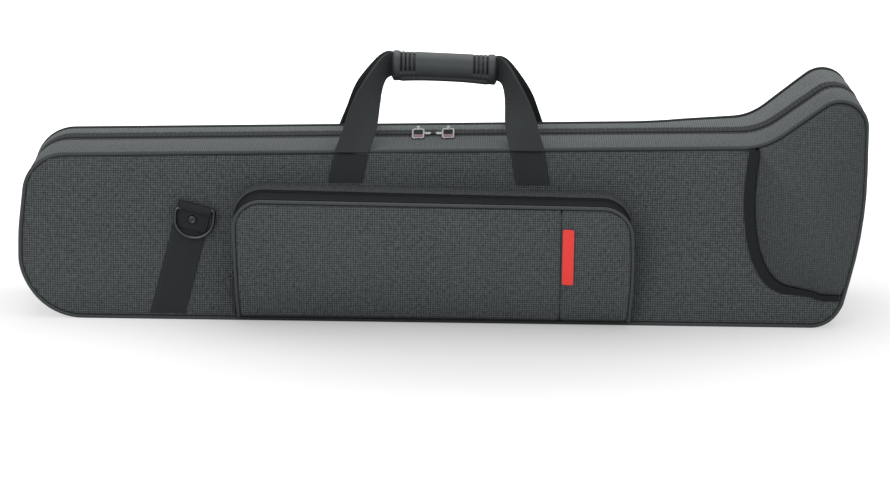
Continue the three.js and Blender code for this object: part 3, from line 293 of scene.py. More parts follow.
def loft(name, rows, loop=True, tube=True):
    """Draws the first row as a ring of edges and pulls every further row out of it.

    A row runs along the piece and the rows go round its section. A loop closes each row, and a tube
    joins the last row to the first. The cloth map is in metres, along and across."""
    count, deep = len(rows[0]), len(rows)
    pick_nothing()
    bpy.ops.mesh.primitive_circle_add(vertices=count, fill_type="NOTHING")
    piece = started(name)
    bpy.ops.object.mode_set(mode="EDIT")
    bpy.ops.mesh.select_mode(type="VERT")
    body = bmesh.from_edit_mesh(piece.data)
    slot, row = body.verts.layers.int.new("slot"), body.verts.layers.int.new("row")
    body.verts.ensure_lookup_table()
    for k, vertex in enumerate(body.verts):
        vertex[slot] = k
        vertex.co = rows[0][k]
    if not loop:
        for edge in body.edges:
            edge.select_set({v[slot] for v in edge.verts} == {0, count - 1})
        body.select_mode = {"EDGE"}
        body.select_flush_mode()
        bmesh.update_edit_mesh(piece.data)
        bpy.ops.mesh.select_mode(type="EDGE")
        bpy.ops.mesh.delete(type="EDGE")
        bpy.ops.mesh.select_mode(type="VERT")
    bpy.ops.mesh.select_all(action="SELECT")
    for k in range(1, deep + (1 if tube else 0)):
        bpy.ops.mesh.extrude_edges_move()
        body = bmesh.from_edit_mesh(piece.data)
        slot, row = body.verts.layers.int["slot"], body.verts.layers.int["row"]
        for vertex in body.verts:
            if vertex.select:
                vertex.co = rows[k % deep][vertex[slot]]
                vertex[row] = k
        bmesh.update_edit_mesh(piece.data)
    bpy.ops.mesh.select_all(action="SELECT")
    if tube:
        bpy.ops.mesh.remove_doubles(threshold=1e-7)
    if tube and not loop:
        close_openings(piece)
    bpy.ops.mesh.select_all(action="SELECT")
    bpy.ops.mesh.normals_make_consistent(inside=False)
    along = lengths(rows[0], loop)
    middle = [r[count // 2] for r in rows]
    across = lengths(middle, tube)
    body = bmesh.from_edit_mesh(piece.data)
    slot, row = body.verts.layers.int["slot"], body.verts.layers.int["row"]
    cloth = body.loops.layers.uv.verify()
    for face in body.faces:
        slots = {v[slot] for v in face.verts}
        strips = {v[row] % deep for v in face.verts}
        wraps = loop and 0 in slots and count - 1 in slots
        turns = tube and 0 in strips and deep - 1 in strips
        for corner in face.loops:
            s, r = corner.vert[slot], corner.vert[row] % deep
            corner[cloth].uv = (along[count if wraps and s == 0 else s], across[deep if turns and r == 0 else r])
    bmesh.update_edit_mesh(piece.data)
    bpy.ops.object.mode_set(mode="OBJECT")
    for name_ in ("slot", "row"):
        piece.data.attributes.remove(piece.data.attributes[name_])
    return smooth(piece)


def close_openings(piece, wanted=lambda edge: True):
    """Fills the open edges of the piece that is being edited"""
    bpy.ops.mesh.select_mode(type="EDGE")
    bpy.ops.mesh.select_all(action="DESELECT")
    body = bmesh.from_edit_mesh(piece.data)
    for edge in body.edges:
        if edge.is_boundary and wanted(edge):
            edge.select_set(True)
    bmesh.update_edit_mesh(piece.data)
    bpy.ops.mesh.fill_holes(sides=0)
    bpy.ops.mesh.select_mode(type="VERT")


def paint_seam_shade(piece, share):
    """Notes on each point how much painted shade beside a seam darkens it, for the finish to read"""
    marks = piece.data.attributes.new("seam", "FLOAT", "POINT")
    for mark, vertex in zip(marks.data, piece.data.vertices):
        mark.value = share(vertex)
    return piece


def shaped_plate(name, outline, depth, matrix):
    """A flat face on the outline, pulled out to its depth and set in place"""
    piece = outlined(name, outline)
    edit_all()
    bpy.ops.mesh.extrude_region_move(TRANSFORM_OT_translate={"value": (0, depth, 0)})
    face_outward()
    if matrix.determinant() < 0:
        piece.data.flip_normals()
    piece.matrix_world = matrix
    return settle(piece)


def turned(name, profile, matrix, steps=28):
    """Spins a profile of (radius, height) round Z and sets it in place"""
    piece = outlined(name, profile, "NOTHING")
    edit_all()
    bpy.ops.mesh.spin(steps=steps, angle=2 * math.pi, center=(0, 0, 0), axis=(0, 0, 1))
    bpy.ops.mesh.select_all(action="SELECT")
    bpy.ops.mesh.remove_doubles(threshold=1e-6)
    bpy.ops.mesh.delete_loose()
    face_outward()
    piece.matrix_world = matrix
    settle(piece)
    return smooth(piece, 35)


def laid_flat(piece, facing):
    """Turns the edited cloth to face front or rear, maps it by its X and Z and leaves edit mode"""
    body = bmesh.from_edit_mesh(piece.data)
    cloth = body.loops.layers.uv.verify()
    for face in body.faces:
        if face.normal.y * facing < 0:
            face.normal_flip()
        for corner in face.loops:
            corner[cloth].uv = (corner.vert.co.x, corner.vert.co.z)
    bmesh.update_edit_mesh(piece.data)
    bpy.ops.object.mode_set(mode="OBJECT")
    return piece


def cut_cloth(name, outline, facing, spacing=0.012, rim=0.0032):
    """A cloth cut to an outline in X and Z, rimmed and scored into squares, facing front or rear"""
    piece = outlined(name, outline)
    low = Vector((min(x for x, z in outline), min(z for x, z in outline)))
    high = Vector((max(x for x, z in outline), max(z for x, z in outline)))
    bpy.ops.object.mode_set(mode="EDIT")
    bpy.ops.mesh.select_mode(type="FACE")
    bpy.ops.mesh.select_all(action="SELECT")
    bpy.ops.mesh.inset(thickness=rim)
    bpy.ops.mesh.select_mode(type="VERT")
    for axis, (start, end) in enumerate(((low.x, high.x), (low.y, high.y))):
        cuts = round((end - start) / spacing)
        for k in range(1, cuts):
            at = start + (end - start) * k / cuts
            bpy.ops.mesh.select_all(action="SELECT")
            place, across = ((at, 0, 0), (1, 0, 0)) if axis == 0 else ((0, 0, at), (0, 0, 1))
            bpy.ops.mesh.bisect(plane_co=place, plane_no=across)
    return laid_flat(piece, facing)


def edge_points(piece):
    """Numbers of the vertices on the open edge"""
    body = bmesh.new()
    body.from_mesh(piece.data)
    found = {v.index for v in body.verts if v.is_boundary}
    body.free()
    return found


def blown(piece, sewn, pressure, cap):
    """Blows the cloth up from behind with its sewn points held, and keeps the swell under a cap"""
    rest = [v.co.copy() for v in piece.data.vertices]
    held = piece.vertex_groups.new(name="sewn")
    held.add(sorted(sewn), 1.0, "REPLACE")
    pick(piece)
    cloth = piece.modifiers.new("Swell", "CLOTH")
    made = cloth.settings
    made.quality = 6
    made.mass = 0.15
    made.tension_stiffness = made.compression_stiffness = 18
    made.shear_stiffness = 8
    made.bending_stiffness = 0.6
    made.use_pressure = True
    made.uniform_pressure_force = pressure
    made.vertex_group_mass = held.name
    made.effector_weights.gravity = 0
    cloth.collision_settings.use_collision = False
    cloth.point_cache.frame_start, cloth.point_cache.frame_end = 1, 20
    scene = bpy.context.scene
    for now in range(1, 21):
        scene.frame_set(now)
    bpy.ops.object.modifier_apply(modifier=cloth.name)
    scene.frame_set(1)
    for vertex, before in zip(piece.data.vertices, rest):
        moved = vertex.co - before
        if moved.length > 1e-9:
            vertex.co = before + moved * (cap * math.tanh(moved.length / cap) / moved.length)
    piece.vertex_groups.clear()
    return piece


def sewn_down(piece, thickness):
    """Gives an open cloth its thickness, inwards, and closes its edge"""
    finish_with(piece, "SUBSURF", levels=1, render_levels=1, boundary_smooth="PRESERVE_CORNERS")
    finish_with(piece, "SOLIDIFY", thickness=thickness, offset=-1)
    return smooth(piece, 60)


def place_all(piece, place):
    """Moves every vertex to the place that is worked out from where it is"""
    for vertex in piece.data.vertices:
        vertex.co = place(vertex.co)
    piece.data.update()
    return piece


def tucked_in(piece, place, side, depth=0.0012, mark=lambda co: 1.0):
    """Lays a cut cloth in place with its rim marked for painted shade and tucked in beside the piping"""
    rim = edge_points(piece)
    paint_seam_shade(piece, lambda v: mark(v.co) if v.index in rim else 0.0)
    for vertex in piece.data.vertices:
        vertex.co = place(vertex.co) - Vector((0, side * depth if vertex.index in rim else 0, 0))
    piece.data.update()
    return piece


def taken_over(node, name, width=0.0008, segments=2):
    """A merged copy of a node's mesh with its edges rounded"""
    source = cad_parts[node]
    piece = bpy.data.objects.new(name, source.data.copy())
    piece.data.name = name
    bpy.context.scene.collection.objects.link(piece)
    piece.data.materials.clear()
    pick(piece)
    edit_all()
    bpy.ops.mesh.remove_doubles(threshold=1e-6)
    bpy.ops.mesh.dissolve_limited(angle_limit=math.radians(0.5))
    face_outward()
    if width:
        bevelled(piece, width, segments)
    return smooth(piece, 40)


def dress(piece, finish, body, slot, *nodes):
    """Gives the piece its finish and its body and hides the nodes it stands for; its slot is not used"""
    piece.data.materials.clear()
    piece.data.materials.append(finish)
    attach(piece, body)
    if nodes:
        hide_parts(*nodes)
    return piece


# Lines of the case


def corner_arc(before, corner, after, steps=None):
    """Points of a rounded corner, with the outward normal"""
    here, radius = Vector(corner[:2]), corner[2]
    ahead = (here - Vector(before[:2])).normalized()
    onward = (Vector(after[:2]) - here).normalized()
    turn = math.atan2(ahead.x * onward.y - ahead.y * onward.x, ahead.dot(onward))
    side = 1 if turn < 0 else -1
    outward = Vector((-ahead.y, ahead.x))
    centre = here - ahead * radius * math.tan(abs(turn) / 2) - outward * side * radius
    steps = steps or max(2, math.ceil(abs(turn) / ARC_STEP))
    found = []
    for k in range(steps + 1):
        c, s = math.cos(turn * k / steps), math.sin(turn * k / steps)
        normal = Vector((outward.x * c - outward.y * s, outward.x * s + outward.y * c))
        place = centre + normal * side * radius
        found.append(Spot(place.x, place.y, normal.x, normal.y))
    return found


def straight(a, b, cuts):
    """Points between two spots, both left out"""
    found = []
    for k in range(1, cuts):
        share = k / cuts
        nx, nz = a.nx + (b.nx - a.nx) * share, a.nz + (b.nz - a.nz) * share
        size = math.hypot(nx, nz)
        found.append(Spot(a.x + (b.x - a.x) * share, a.z + (b.z - a.z) * share, nx / size, nz / size))
    return found


def rounded_line(corners, closed=True, cuts=None, arc_steps=None, spacing=SPACING):
    """A line with rounded corners, cut finely on its straights too"""
    count = len(corners)
    arcs = []
    for k, corner in enumerate(corners):
        before, after = corners[k - 1], corners[(k + 1) % count]
        if not closed and k in (0, count - 1):
            other = after if k == 0 else before
            ahead = (Vector(other[:2]) - Vector(corner[:2])).normalized() * (1 if k == 0 else -1)
            arcs.append([Spot(corner[0], corner[1], -ahead.y, ahead.x)])
        else:
            arcs.append(corner_arc(before, corner, after, arc_steps))
    found = []
    for k, arc in enumerate(arcs):
        found += arc
        if not closed and k == count - 1:
            break
        ahead = arcs[(k + 1) % count][0]
        span = math.hypot(ahead.x - arc[-1].x, ahead.z - arc[-1].z)
        if span > 1e-6:
            found += straight(arc[-1], ahead, cuts[k] if cuts else max(1, math.ceil(span / spacing)))
    return found


def case_line():
    """Outline of the case, clockwise from the foot of the slide end as seen from the front"""
    rise = HUMP_RADIUS * (1 + math.sin(RAMP)) / math.cos(RAMP)
    peak = HUMP_HEIGHT - HUMP_RADIUS + rise
    corners = [
        (LEFT_END, 0, 0.070),
        (LEFT_END, 0.099, 0.250),
        (LEFT_END + 0.009, SLIDE_END_HEIGHT, 0.045),
        (RIGHT_END - (peak - NECK_HEIGHT) / math.tan(RAMP), NECK_HEIGHT, 0.075),
        (RIGHT_END, peak, HUMP_RADIUS),
        (RIGHT_END, 0.115, 0.500),
        (RIGHT_END - BELL_END_LEAN, 0, 0.036),
    ]
    return rounded_line(corners)


LINE = case_line()


def top_at(x):
    """Height of the top line, clear of its ends"""
    tops = [s for s in LINE if s.nz > 0.99 and s.z > 0.12]
    for a, b in zip(tops, tops[1:]):
        if a.x <= x <= b.x:
            return a.z + (x - a.x) * (b.z - a.z) / (b.x - a.x)
    raise ValueError("that place has no straight top")


def smooth_share(t):
    """From 0 to 1 with a soft start and end"""
    t = max(0.0, min(1.0, t))
    return t * t * (3 - 2 * t)


def bell_share(x, start=0.21, end=0.28):
    """How far a place is past the start of the bell, from 0 to 1"""
    return smooth_share((x - start) / (end - start))


def depth_at(side, x):
    """Depth of a shell's face from the plane of the zip, with the fold over the bell eased"""
    if side == FRONT:
        return FRONT_DEPTH
    slope = (REAR_BELL_DEPTH - REAR_DEPTH) / (RIGHT_END - REAR_FOLD_X)
    past = x - REAR_FOLD_X
    eased = 0.5 * (past + math.sqrt(past * past + 0.012 ** 2)) - 0.006 * math.exp(-abs(past) / 0.05)
    fuller = REAR_FULLER * bell_share(x) * (1 - 0.7 * bell_share(x, 0.40, 0.469))
    return REAR_DEPTH + max(0.0, eased) * slope + fuller


def lean_in(side, x, depth):
    """How far the rear shell's bell end leans in towards its face"""
    return REAR_LEAN * bell_share(x, 0.30, 0.38) * max(0.0, depth / REAR_BELL_DEPTH) if side == REAR else 0.0


def proud(side, spot):
    """How far the piping stands out from the band of fabric beside it; not at all along the foot"""
    return PIPING_PROUD[side] * smooth_share((spot.nz + 0.6) / 0.6)


def face_spot(side, spot, inset, back):
    """A point set in from the outline and back from a shell's face"""
    x = spot.x - spot.nx * inset
    depth = depth_at(side, x)
    return Vector((x - lean_in(side, x, depth), ZIP_Y + side * (depth - back), spot.z - spot.nz * inset))


def plane_spot(side, spot, inset, depth):
    """A point set in from the outline at a depth from the plane of the zip"""
    x = spot.x - spot.nx * inset
    return Vector((x - lean_in(side, x, depth), ZIP_Y + side * depth, spot.z - spot.nz * inset))


def shell_spot(side, spot, inset, share):
    """A point between the zip's edge of a gusset, at share 0, and its piping, at share 1"""
    near = TAPE_WIDTH[side]
    far = depth_at(side, spot.x) - PIPING_ROOM
    return plane_spot(side, spot, inset, near + (far - near) * share)


# Finishes


class Field:
    """A socket of the finish being drawn, for use in plain expressions"""

    def __init__(self, finish, socket):
        self.finish, self.socket = finish, socket

    def maths(self, operation, *others):
        return self.finish.node("ShaderNodeMath", {"operation": operation}, {0: self, **{
            k + 1: other for k, other in enumerate(others)}})

    def __add__(self, other):
        return self.maths("ADD", other)

    __radd__ = __add__

    def __mul__(self, other):
        return self.maths("MULTIPLY", other)

    __rmul__ = __mul__

    def __sub__(self, other):
        return self.maths("SUBTRACT", other)

    def __rsub__(self, other):
        return self.finish.node("ShaderNodeMath", {"operation": "SUBTRACT"}, {0: other, 1: self})

    def wave(self, length):
        """From 0 to 1 and back over a length"""
        return (self * (2 * math.pi / length)).maths("SINE") * 0.5 + 0.5

    def within(self, low, high):
        """From 0 at low to 1 at high, smoothly"""
        return self.finish.node("ShaderNodeMapRange", {"interpolation_type": "SMOOTHSTEP", "clamp": True},
                                {0: self, 1: low, 2: high, 3: 0.0, 4: 1.0})

    def near(self, place, reach):
        """1 at a place, 0 beyond its reach"""
        return 1.0 - (self - place).maths("ABSOLUTE").within(reach * 0.5, reach)

    def parts(self):
        """The three parts of a vector"""
        made = self.finish.add("ShaderNodeSeparateXYZ", {}, {0: self})
        return [Field(self.finish, made.outputs[k]) for k in range(3)]


class Finish:
    """A finish drawn in nodes, from the piece's cloth map or its place"""

    def __init__(self, name, roughness, metallic=0.0, sheen=0.0, sheen_roughness=0.5, specular=0.5, coat=0.0):
        self.material = bpy.data.materials.new(name)
        self.material.use_nodes = True
        self.tree = self.material.node_tree
        self.shader = self.tree.nodes["Principled BSDF"]
        self.set(roughness=roughness, metallic=metallic)
        self.shader.inputs["Sheen Weight"].default_value = sheen
        self.shader.inputs["Sheen Roughness"].default_value = sheen_roughness
        self.shader.inputs["Specular IOR Level"].default_value = specular
        self.shader.inputs["Coat Weight"].default_value = coat

    def add(self, kind, settings, values):
        made = self.tree.nodes.new(kind)
        for key, value in settings.items():
            setattr(made, key, value)
        for key, value in values.items():
            if isinstance(value, Field):
                self.tree.links.new(value.socket, made.inputs[key])
            else:
                made.inputs[key].default_value = value
        return made

    def node(self, kind, settings, values, output=0):
        return Field(self, self.add(kind, settings, values).outputs[output])

    def set(self, **values):
        for key, value in values.items():
            socket = self.shader.inputs[{"colour": "Base Color", "roughness": "Roughness",
                                         "metallic": "Metallic", "normal": "Normal"}[key]]
            if isinstance(value, Field):
                self.tree.links.new(value.socket, socket)
            else:
                socket.default_value = value

    def place(self):
        """Object coordinates, in metres"""
        return self.node("ShaderNodeTexCoord", {}, {}, 3)

    def cloth(self):
        """The cloth map, along and across, in metres"""
        return self.node("ShaderNodeUVMap", {"uv_map": ""}, {}, 0).parts()[:2]

    def noise(self, size, detail=2.0, roughness=0.5, at=None):
        """Soft noise from 0 to 1 with features of about a size"""
        return self.node("ShaderNodeTexNoise", {}, {
            "Vector": at or self.place(), "Scale": 1.0 / size, "Detail": detail, "Roughness": roughness})

    def threads(self, u, v, wide, long):
        """Streaks of a width along the cloth and a length across it, from 0 to 1"""
        at = self.node("ShaderNodeCombineXYZ", {}, {0: u * (1 / wide), 1: v * (1 / long)})
        return self.node("ShaderNodeTexNoise", {}, {"Vector": at, "Scale": 1.0, "Detail": 1.0})

    def crossings(self, u, v, pitch):
        """A number from 0 to 1 for each crossing of the threads"""
        at = self.node("ShaderNodeCombineXYZ", {}, {0: (u * (1 / pitch)).maths("FLOOR"),
                                                   1: (v * (1 / pitch)).maths("FLOOR")})
        return self.node("ShaderNodeTexWhiteNoise", {"noise_dimensions": "2D"}, {"Vector": at})

    def seam(self):
        """The piece's own mark of the painted shade beside its seams"""
        return self.node("ShaderNodeAttribute", {"attribute_name": "seam"}, {}, 2)

    def blend(self, share, low, high):
        """Mixes two colours by a share"""
        made = self.add("ShaderNodeMix", {"data_type": "RGBA"}, {})
        for index, value in ((0, share), (6, low), (7, high)):
            if isinstance(value, Field):
                self.tree.links.new(value.socket, made.inputs[index])
            else:
                made.inputs[index].default_value = value if index == 0 else (*value[:3], 1.0)
        return Field(self, made.outputs[2])

    def bump(self, height, depth, strength=1.0):
        """Raises the surface by a height from 0 to 1 times a depth in metres"""
        self.set(normal=self.node("ShaderNodeBump", {}, {"Height": height, "Distance": depth, "Strength": strength}))


def shade(colour, factor):
    """A colour lightened or darkened by a factor"""
    return tuple(min(1.0, c * factor) for c in colour)


def stitches(v, u, row, pitch=0.0034, width=0.0007):
    """Dashes of thread along a row"""
    dash = u.wave(pitch).within(0.2, 0.5)
    return v.near(row, width) * dash


def sewn_rows(made, rows, colour, height, thread_colour, share=0.6, lift=1.2, groove=(0.0016, 0.5)):
    """Draws rows of stitches over a colour and a height, each in its shallow groove"""
    u, v = made.cloth()
    for row in rows:
        thread = stitches(v, u, row)
        colour = made.blend(thread * share, colour, thread_colour)
        height = height + thread * lift - v.near(row, groove[0]) * groove[1]
    return colour, height


def woven(name, light=1.0, contrast=1.0, piped=False, seams=()):
    """The case's fabric: a fine two-tone weave whose threads run lighter and darker for short stretches"""
    colours, sizes = bpy.context.scene.case_colours, bpy.context.scene.case_sizes
    pitch = sizes.weave_pitch
    made = Finish(name, 0.86, sheen=0.05, sheen_roughness=0.4, specular=0.2)
    u, v = made.cloth()
    if piped:
        lean = u + v * 0.8
        grid = lean.wave(pitch * 0.9) * 0.6 + (u - v * 0.6).wave(pitch * 0.7) * 0.4
        share = grid * 0.5 + 0.16
    else:
        grid = u.wave(pitch) * v.wave(pitch)
        crossing = made.crossings(u, v, pitch)
        upright = made.threads(u, v, pitch * 0.9, pitch * 2.2)
        level = made.threads(u, v, pitch * 2.2, pitch * 0.9)
        share = grid * (0.55 + crossing * 0.55) + (upright - 0.5) * 0.6 + (level - 0.5) * 0.4 - 0.2
        share = share * contrast + 0.375
    fine = made.noise(0.0011, 1.0)
    share = share + (fine - 0.5) * 0.35
    # A light above 1 draws the weave lighter and one below 1 darker; the gore, pocket strip, rear gusset and piping
    # finishes use it as painted light and shade.
    ground = made.blend(share, shade(colours.weave, light), shade(colours.weave_light, light))
    wear = made.noise(0.09, 3.0).within(0.35, 0.8)
    colour = made.blend(wear * 0.12, ground, shade(colours.weave_light, 0.8 * light))
    colour, height = sewn_rows(made, seams, colour, share, shade(colours.weave_light, 1.15), 0.75, 1.4, (0.0022, 0.6))
    # Painted shade: points marked beside a seam are drawn much darker.
    colour = made.blend(made.seam().within(0.12, 0.8) * 0.9, colour, shade(colours.weave, 0.3))
    made.set(colour=colour, roughness=0.78 + fine * 0.14)
    made.bump(height, 0.0003, 0.7)
    return made.material


def webbed(name, light=1.0, width=0.038, edge=0.003):
    """Webbing: fine ribs along its length, lines across, and a turned edge with a row of stitches"""
    colours = bpy.context.scene.case_colours
    made = Finish(name, 0.8, sheen=0.02, specular=0.2)
    u, v = made.cloth()
    ribs = v.wave(0.0019)
    weft = u.wave(0.0015)
    fine = made.noise(0.0009, 1.0)
    pattern = ribs * 0.6 + weft * ribs * 0.4
    tone = made.noise(0.03, 2.0)
    colour = made.blend(pattern * 0.55 + fine * 0.25 + tone * 0.15, shade(colours.webbing, 0.72 * light),
                        shade(colours.webbing, 1.5 * light))
    colour, height = sewn_rows(made, (edge, width - edge), colour, pattern * 0.8 + fine * 0.2,
                               shade(colours.webbing, 1.9 * light))
    made.set(colour=colour, roughness=0.72 + fine * 0.16)
    made.bump(height, 0.0003, 0.8)
    return made.material


def taped(name, row=None, light=1.0):
    """Zip and seam tape: a tight herringbone, with its stitching"""
    colours = bpy.context.scene.case_colours
    made = Finish(name, 0.82, specular=0.1)
    u, v = made.cloth()
    ribs = (u + v * 0.6).wave(0.0014)
    fine = made.noise(0.0008, 1.0)
    bars = u.wave(0.0052).within(0.35, 0.65) * v.within(0.0035, 0.0055) if row is not None else 0.0
    plain = 0.3 if row is None else 1.0
    pattern = (bars * 0.45 + ribs * 0.25 + fine * 0.3 - 0.4) * plain + 0.4
    colour = made.blend(pattern, shade(colours.tape, 0.45 * light), shade(colours.tape, 2.0 * light))
    colour, height = sewn_rows(made, () if row is None else (row,), colour, ribs * 0.7 + fine * 0.3,
                               shade(colours.tape, 2.2 * light))
    made.set(colour=colour, roughness=0.7 + fine * 0.15)
    made.bump(height, 0.0002, 0.8)
    return made.material


def moulded(name, colour, roughness, grain=0.0007, depth=0.00008, wear=1.3, specular=0.4):
    """Moulded rubber or plastic with a fine grain, lighter worn places and painted shade where the piece is marked"""
    made = Finish(name, roughness, specular=specular)
    fine = made.noise(grain, 2.0)
    worn = made.noise(0.02, 3.0).within(0.45, 0.75)
    skin = made.blend(worn * 0.35 + fine * 0.15, shade(colour, 0.92), shade(colour, wear))
    # Painted shade: points marked in grooves are drawn almost black.
    made.set(colour=made.blend(made.seam().within(0.25, 0.85) * 0.9, skin, shade(colour, 0.12)),
             roughness=roughness - 0.06 + fine * 0.14)
    made.bump(fine, depth, 0.6)
    return made.material


def plated(name, colour, roughness, grain=0.0006):
    """Plated or painted metal with faint tumbling marks and handling haze"""
    made = Finish(name, roughness, metallic=1.0)
    haze = made.noise(0.004, 3.0)
    marks = made.noise(grain, 1.0)
    made.set(colour=made.blend(haze.within(0.4, 0.75) * 0.5, colour, shade(colour, 0.8)),
             roughness=roughness + haze * 0.15 - 0.04)
    made.bump(marks, 0.00002, 0.4)
    return made.material


def painted_steel(name):
    """Black painted steel, a little worn in patches"""
    colours = bpy.context.scene.case_colours
    made = Finish(name, 0.3, metallic=0.85, coat=0.6)
    haze = made.noise(0.005, 3.0)
    made.set(colour=made.blend(haze.within(0.55, 0.8) * 0.5, shade(colours.black_steel, 0.9),
                               shade(colours.black_steel, 2.2)),
             roughness=0.2 + haze * 0.16)
    made.bump(made.noise(0.0008, 1.0), 0.00002, 0.4)
    return made.material


def napped(name, colour, pile=0.0012):
    """Plush with a short pile that is brushed this way and that"""
    made = Finish(name, 0.95, sheen=0.5, sheen_roughness=0.35, specular=0.1)
    fine, brushed = made.noise(pile, 2.0), made.noise(0.035, 3.0)
    made.set(colour=made.blend(fine * 0.5 + brushed.within(0.35, 0.7) * 0.4, shade(colour, 0.6), shade(colour, 1.7)))
    made.bump(fine * 0.8 + brushed * 0.6, 0.0006, 0.8)
    return made.material


def foamed(name, colour):
    """Moulded foam with its small cells"""
    made = Finish(name, 0.95, specular=0.15)
    cells = made.node("ShaderNodeTexVoronoi", {"feature": "DISTANCE_TO_EDGE"},
                      {"Vector": made.place(), "Scale": 1 / 0.0018})
    soft = made.noise(0.01, 3.0)
    made.set(colour=made.blend(cells.within(0.0, 0.2) * 0.6 + soft * 0.4, shade(colour, 0.72), colour))
    made.bump(cells.within(0.0, 0.25), 0.0003, 0.6)
    return made.material


def toothed(name):
    """Nylon coil, a little uneven in its shine"""
    colours = bpy.context.scene.case_colours
    made = Finish(name, 0.5, specular=0.15)
    fine = made.noise(0.001, 1.0)
    made.set(colour=made.blend(fine * 0.6, shade(colours.coil, 0.8), shade(colours.coil, 1.7)),
             roughness=0.38 + fine * 0.15)
    made.bump(fine, 0.00005, 0.5)
    return made.material


def ribbon_cloth(name, colour):
    """A woven satin ribbon, left plain, with a stitched edge"""
    made = Finish(name, 0.6, sheen=0.1, specular=0.4)
    u, v = made.cloth()
    weft = v.wave(0.0009)
    fine = made.noise(0.0007, 1.0)
    thread = stitches(u, v, 0.0016, 0.003, 0.0005)
    cloth = made.blend(weft * 0.3 + fine * 0.25, shade(colour, 0.86), shade(colour, 1.12))
    made.set(colour=made.blend(thread * 0.5, cloth, shade(colour, 0.6)), roughness=0.52 + fine * 0.15)
    made.bump(weft * 0.6 + thread * 1.0, 0.0001, 0.6)
    return made.material


FINISHES = {}


def finish(name):
    """The finish of a name, drawn once"""
    if name not in FINISHES:
        colours = bpy.context.scene.case_colours
        recipes = {
            "panel_weave": lambda: woven(name, 0.97),
            "gusset_weave": lambda: woven(name),
            # The gore's weave is drawn darker and flatter: painted shade.
            "gore_weave_painted_shade": lambda: woven(name, 0.85, 0.65),
            # The pocket strip's weave is drawn darker: painted shade.
            "strip_weave_painted_shade": lambda: woven(name, 0.62),
            "front_gusset_weave": lambda: woven(name, seams=(0.0030,)),
            # The rear gusset is drawn lighter than the front one: painted light.
            "rear_gusset_weave": lambda: woven(name, 1.4, seams=(0.0030,)),
            # Both pipings are drawn darker than the weave, the rear one most: painted shade.
            "front_piping_weave": lambda: woven(name, 0.85, piped=True),
            "rear_piping_weave": lambda: woven(name, 0.5, piped=True),
            "handle_webbing": lambda: webbed(name),
            "narrow_webbing": lambda: webbed(name, width=0.025, edge=0.0022),
            "tab_webbing": lambda: webbed(name, 0.8, width=0.033, edge=0.0025),
            "zip_tape": lambda: taped(name, 0.0125, 1.35),
            "pocket_tape": lambda: taped(name, light=0.7),
            "seam_tape": lambda: taped(name, light=1.15),
            "zip_teeth": lambda: toothed(name),
            "grip_rubber": lambda: moulded(name, colours.rubber, 0.5),
            "cradle_plush": lambda: napped(name, colours.plush),
            "lining_plush": lambda: napped(name, shade(colours.plush, 1.1), 0.0014),
            "box_plush": lambda: napped(name, shade(colours.plush, 0.9), 0.001),
            "shell_foam": lambda: foamed(name, colours.foam),
            "bright_plate": lambda: plated(name, colours.nickel, 0.24),
            "ring_plate": lambda: plated(name, shade(colours.nickel, 0.2), 0.13),
            "dark_plate": lambda: plated(name, shade(colours.nickel, 0.16), 0.1),
            "black_paint": lambda: painted_steel(name),
            "pull_inlay": lambda: moulded(name, INLAY_RED, 0.5),
            "pull_backing": lambda: moulded(name, shade(colours.rubber, 0.12), 0.7, specular=0.1),
            "label_ribbon": lambda: ribbon_cloth(name, colours.label),
        }
        FINISHES[name] = recipes[name]()
    return FINISHES[name]


# Shared shapes of bands, tubes and straps


def band(name, line, outer, inner, loop=True):
    """A band of fabric along the outline. Outer and inner give a row's point for each spot, in order round it"""
    rows = [[place(spot) for spot in line] for place in (*outer, *reversed(inner))]
    return loft(name, rows, loop)


def cord_tube(name, line, centre, radius, sides=12, loop=True):
    """A round tube whose section is drawn by centre(spot, across, out), its two shares of the radius"""
    rows = [[centre(spot, radius * c, radius * s) for spot in line] for c, s in round_section(sides)]
    return loft(name, rows, loop)


def strap(name, stations, across=6):
    """Webbing with eased edges through stations of (middle, half width, half thickness), each a vector"""
    shares = [-1 + 2 * k / across for k in range(across + 1)]
    top = [[m + w * (s * STRAP_EDGE) + t for m, w, t in stations] for s in shares]
    back = [[m + w * (s * STRAP_EDGE) - t for m, w, t in stations] for s in reversed(shares)]
    low, high = [m - w for m, w, t in stations], [m + w for m, w, t in stations]
    return loft(name, [low, *top, high, *back], loop=False)


def eased(stations, passes):
    """Rounds the bends of a strap's stations, with both ends held"""
    kept = [tuple(v.copy() for v in s) for s in stations]
    for _ in range(passes):
        before = [tuple(v.copy() for v in s) for s in kept]
        for k in range(1, len(kept) - 1):
            kept[k] = tuple((before[k - 1][j] + before[k][j] * 2 + before[k + 1][j]) / 4 for j in range(3))
    return kept


# Shells


ZIP_FIRST = next(k for k, s in enumerate(LINE) if s.z > ZIP_FOOT)
ZIP_LAST = max(k for k, s in enumerate(LINE) if s.z > ZIP_FOOT)
ZIP_LINE = LINE[ZIP_FIRST:ZIP_LAST + 1]
SPINE_LINE = LINE[ZIP_LAST:] + LINE[:ZIP_FIRST + 1]
SIDES = {"front": (FRONT, "lid"), "rear": (REAR, "base")}


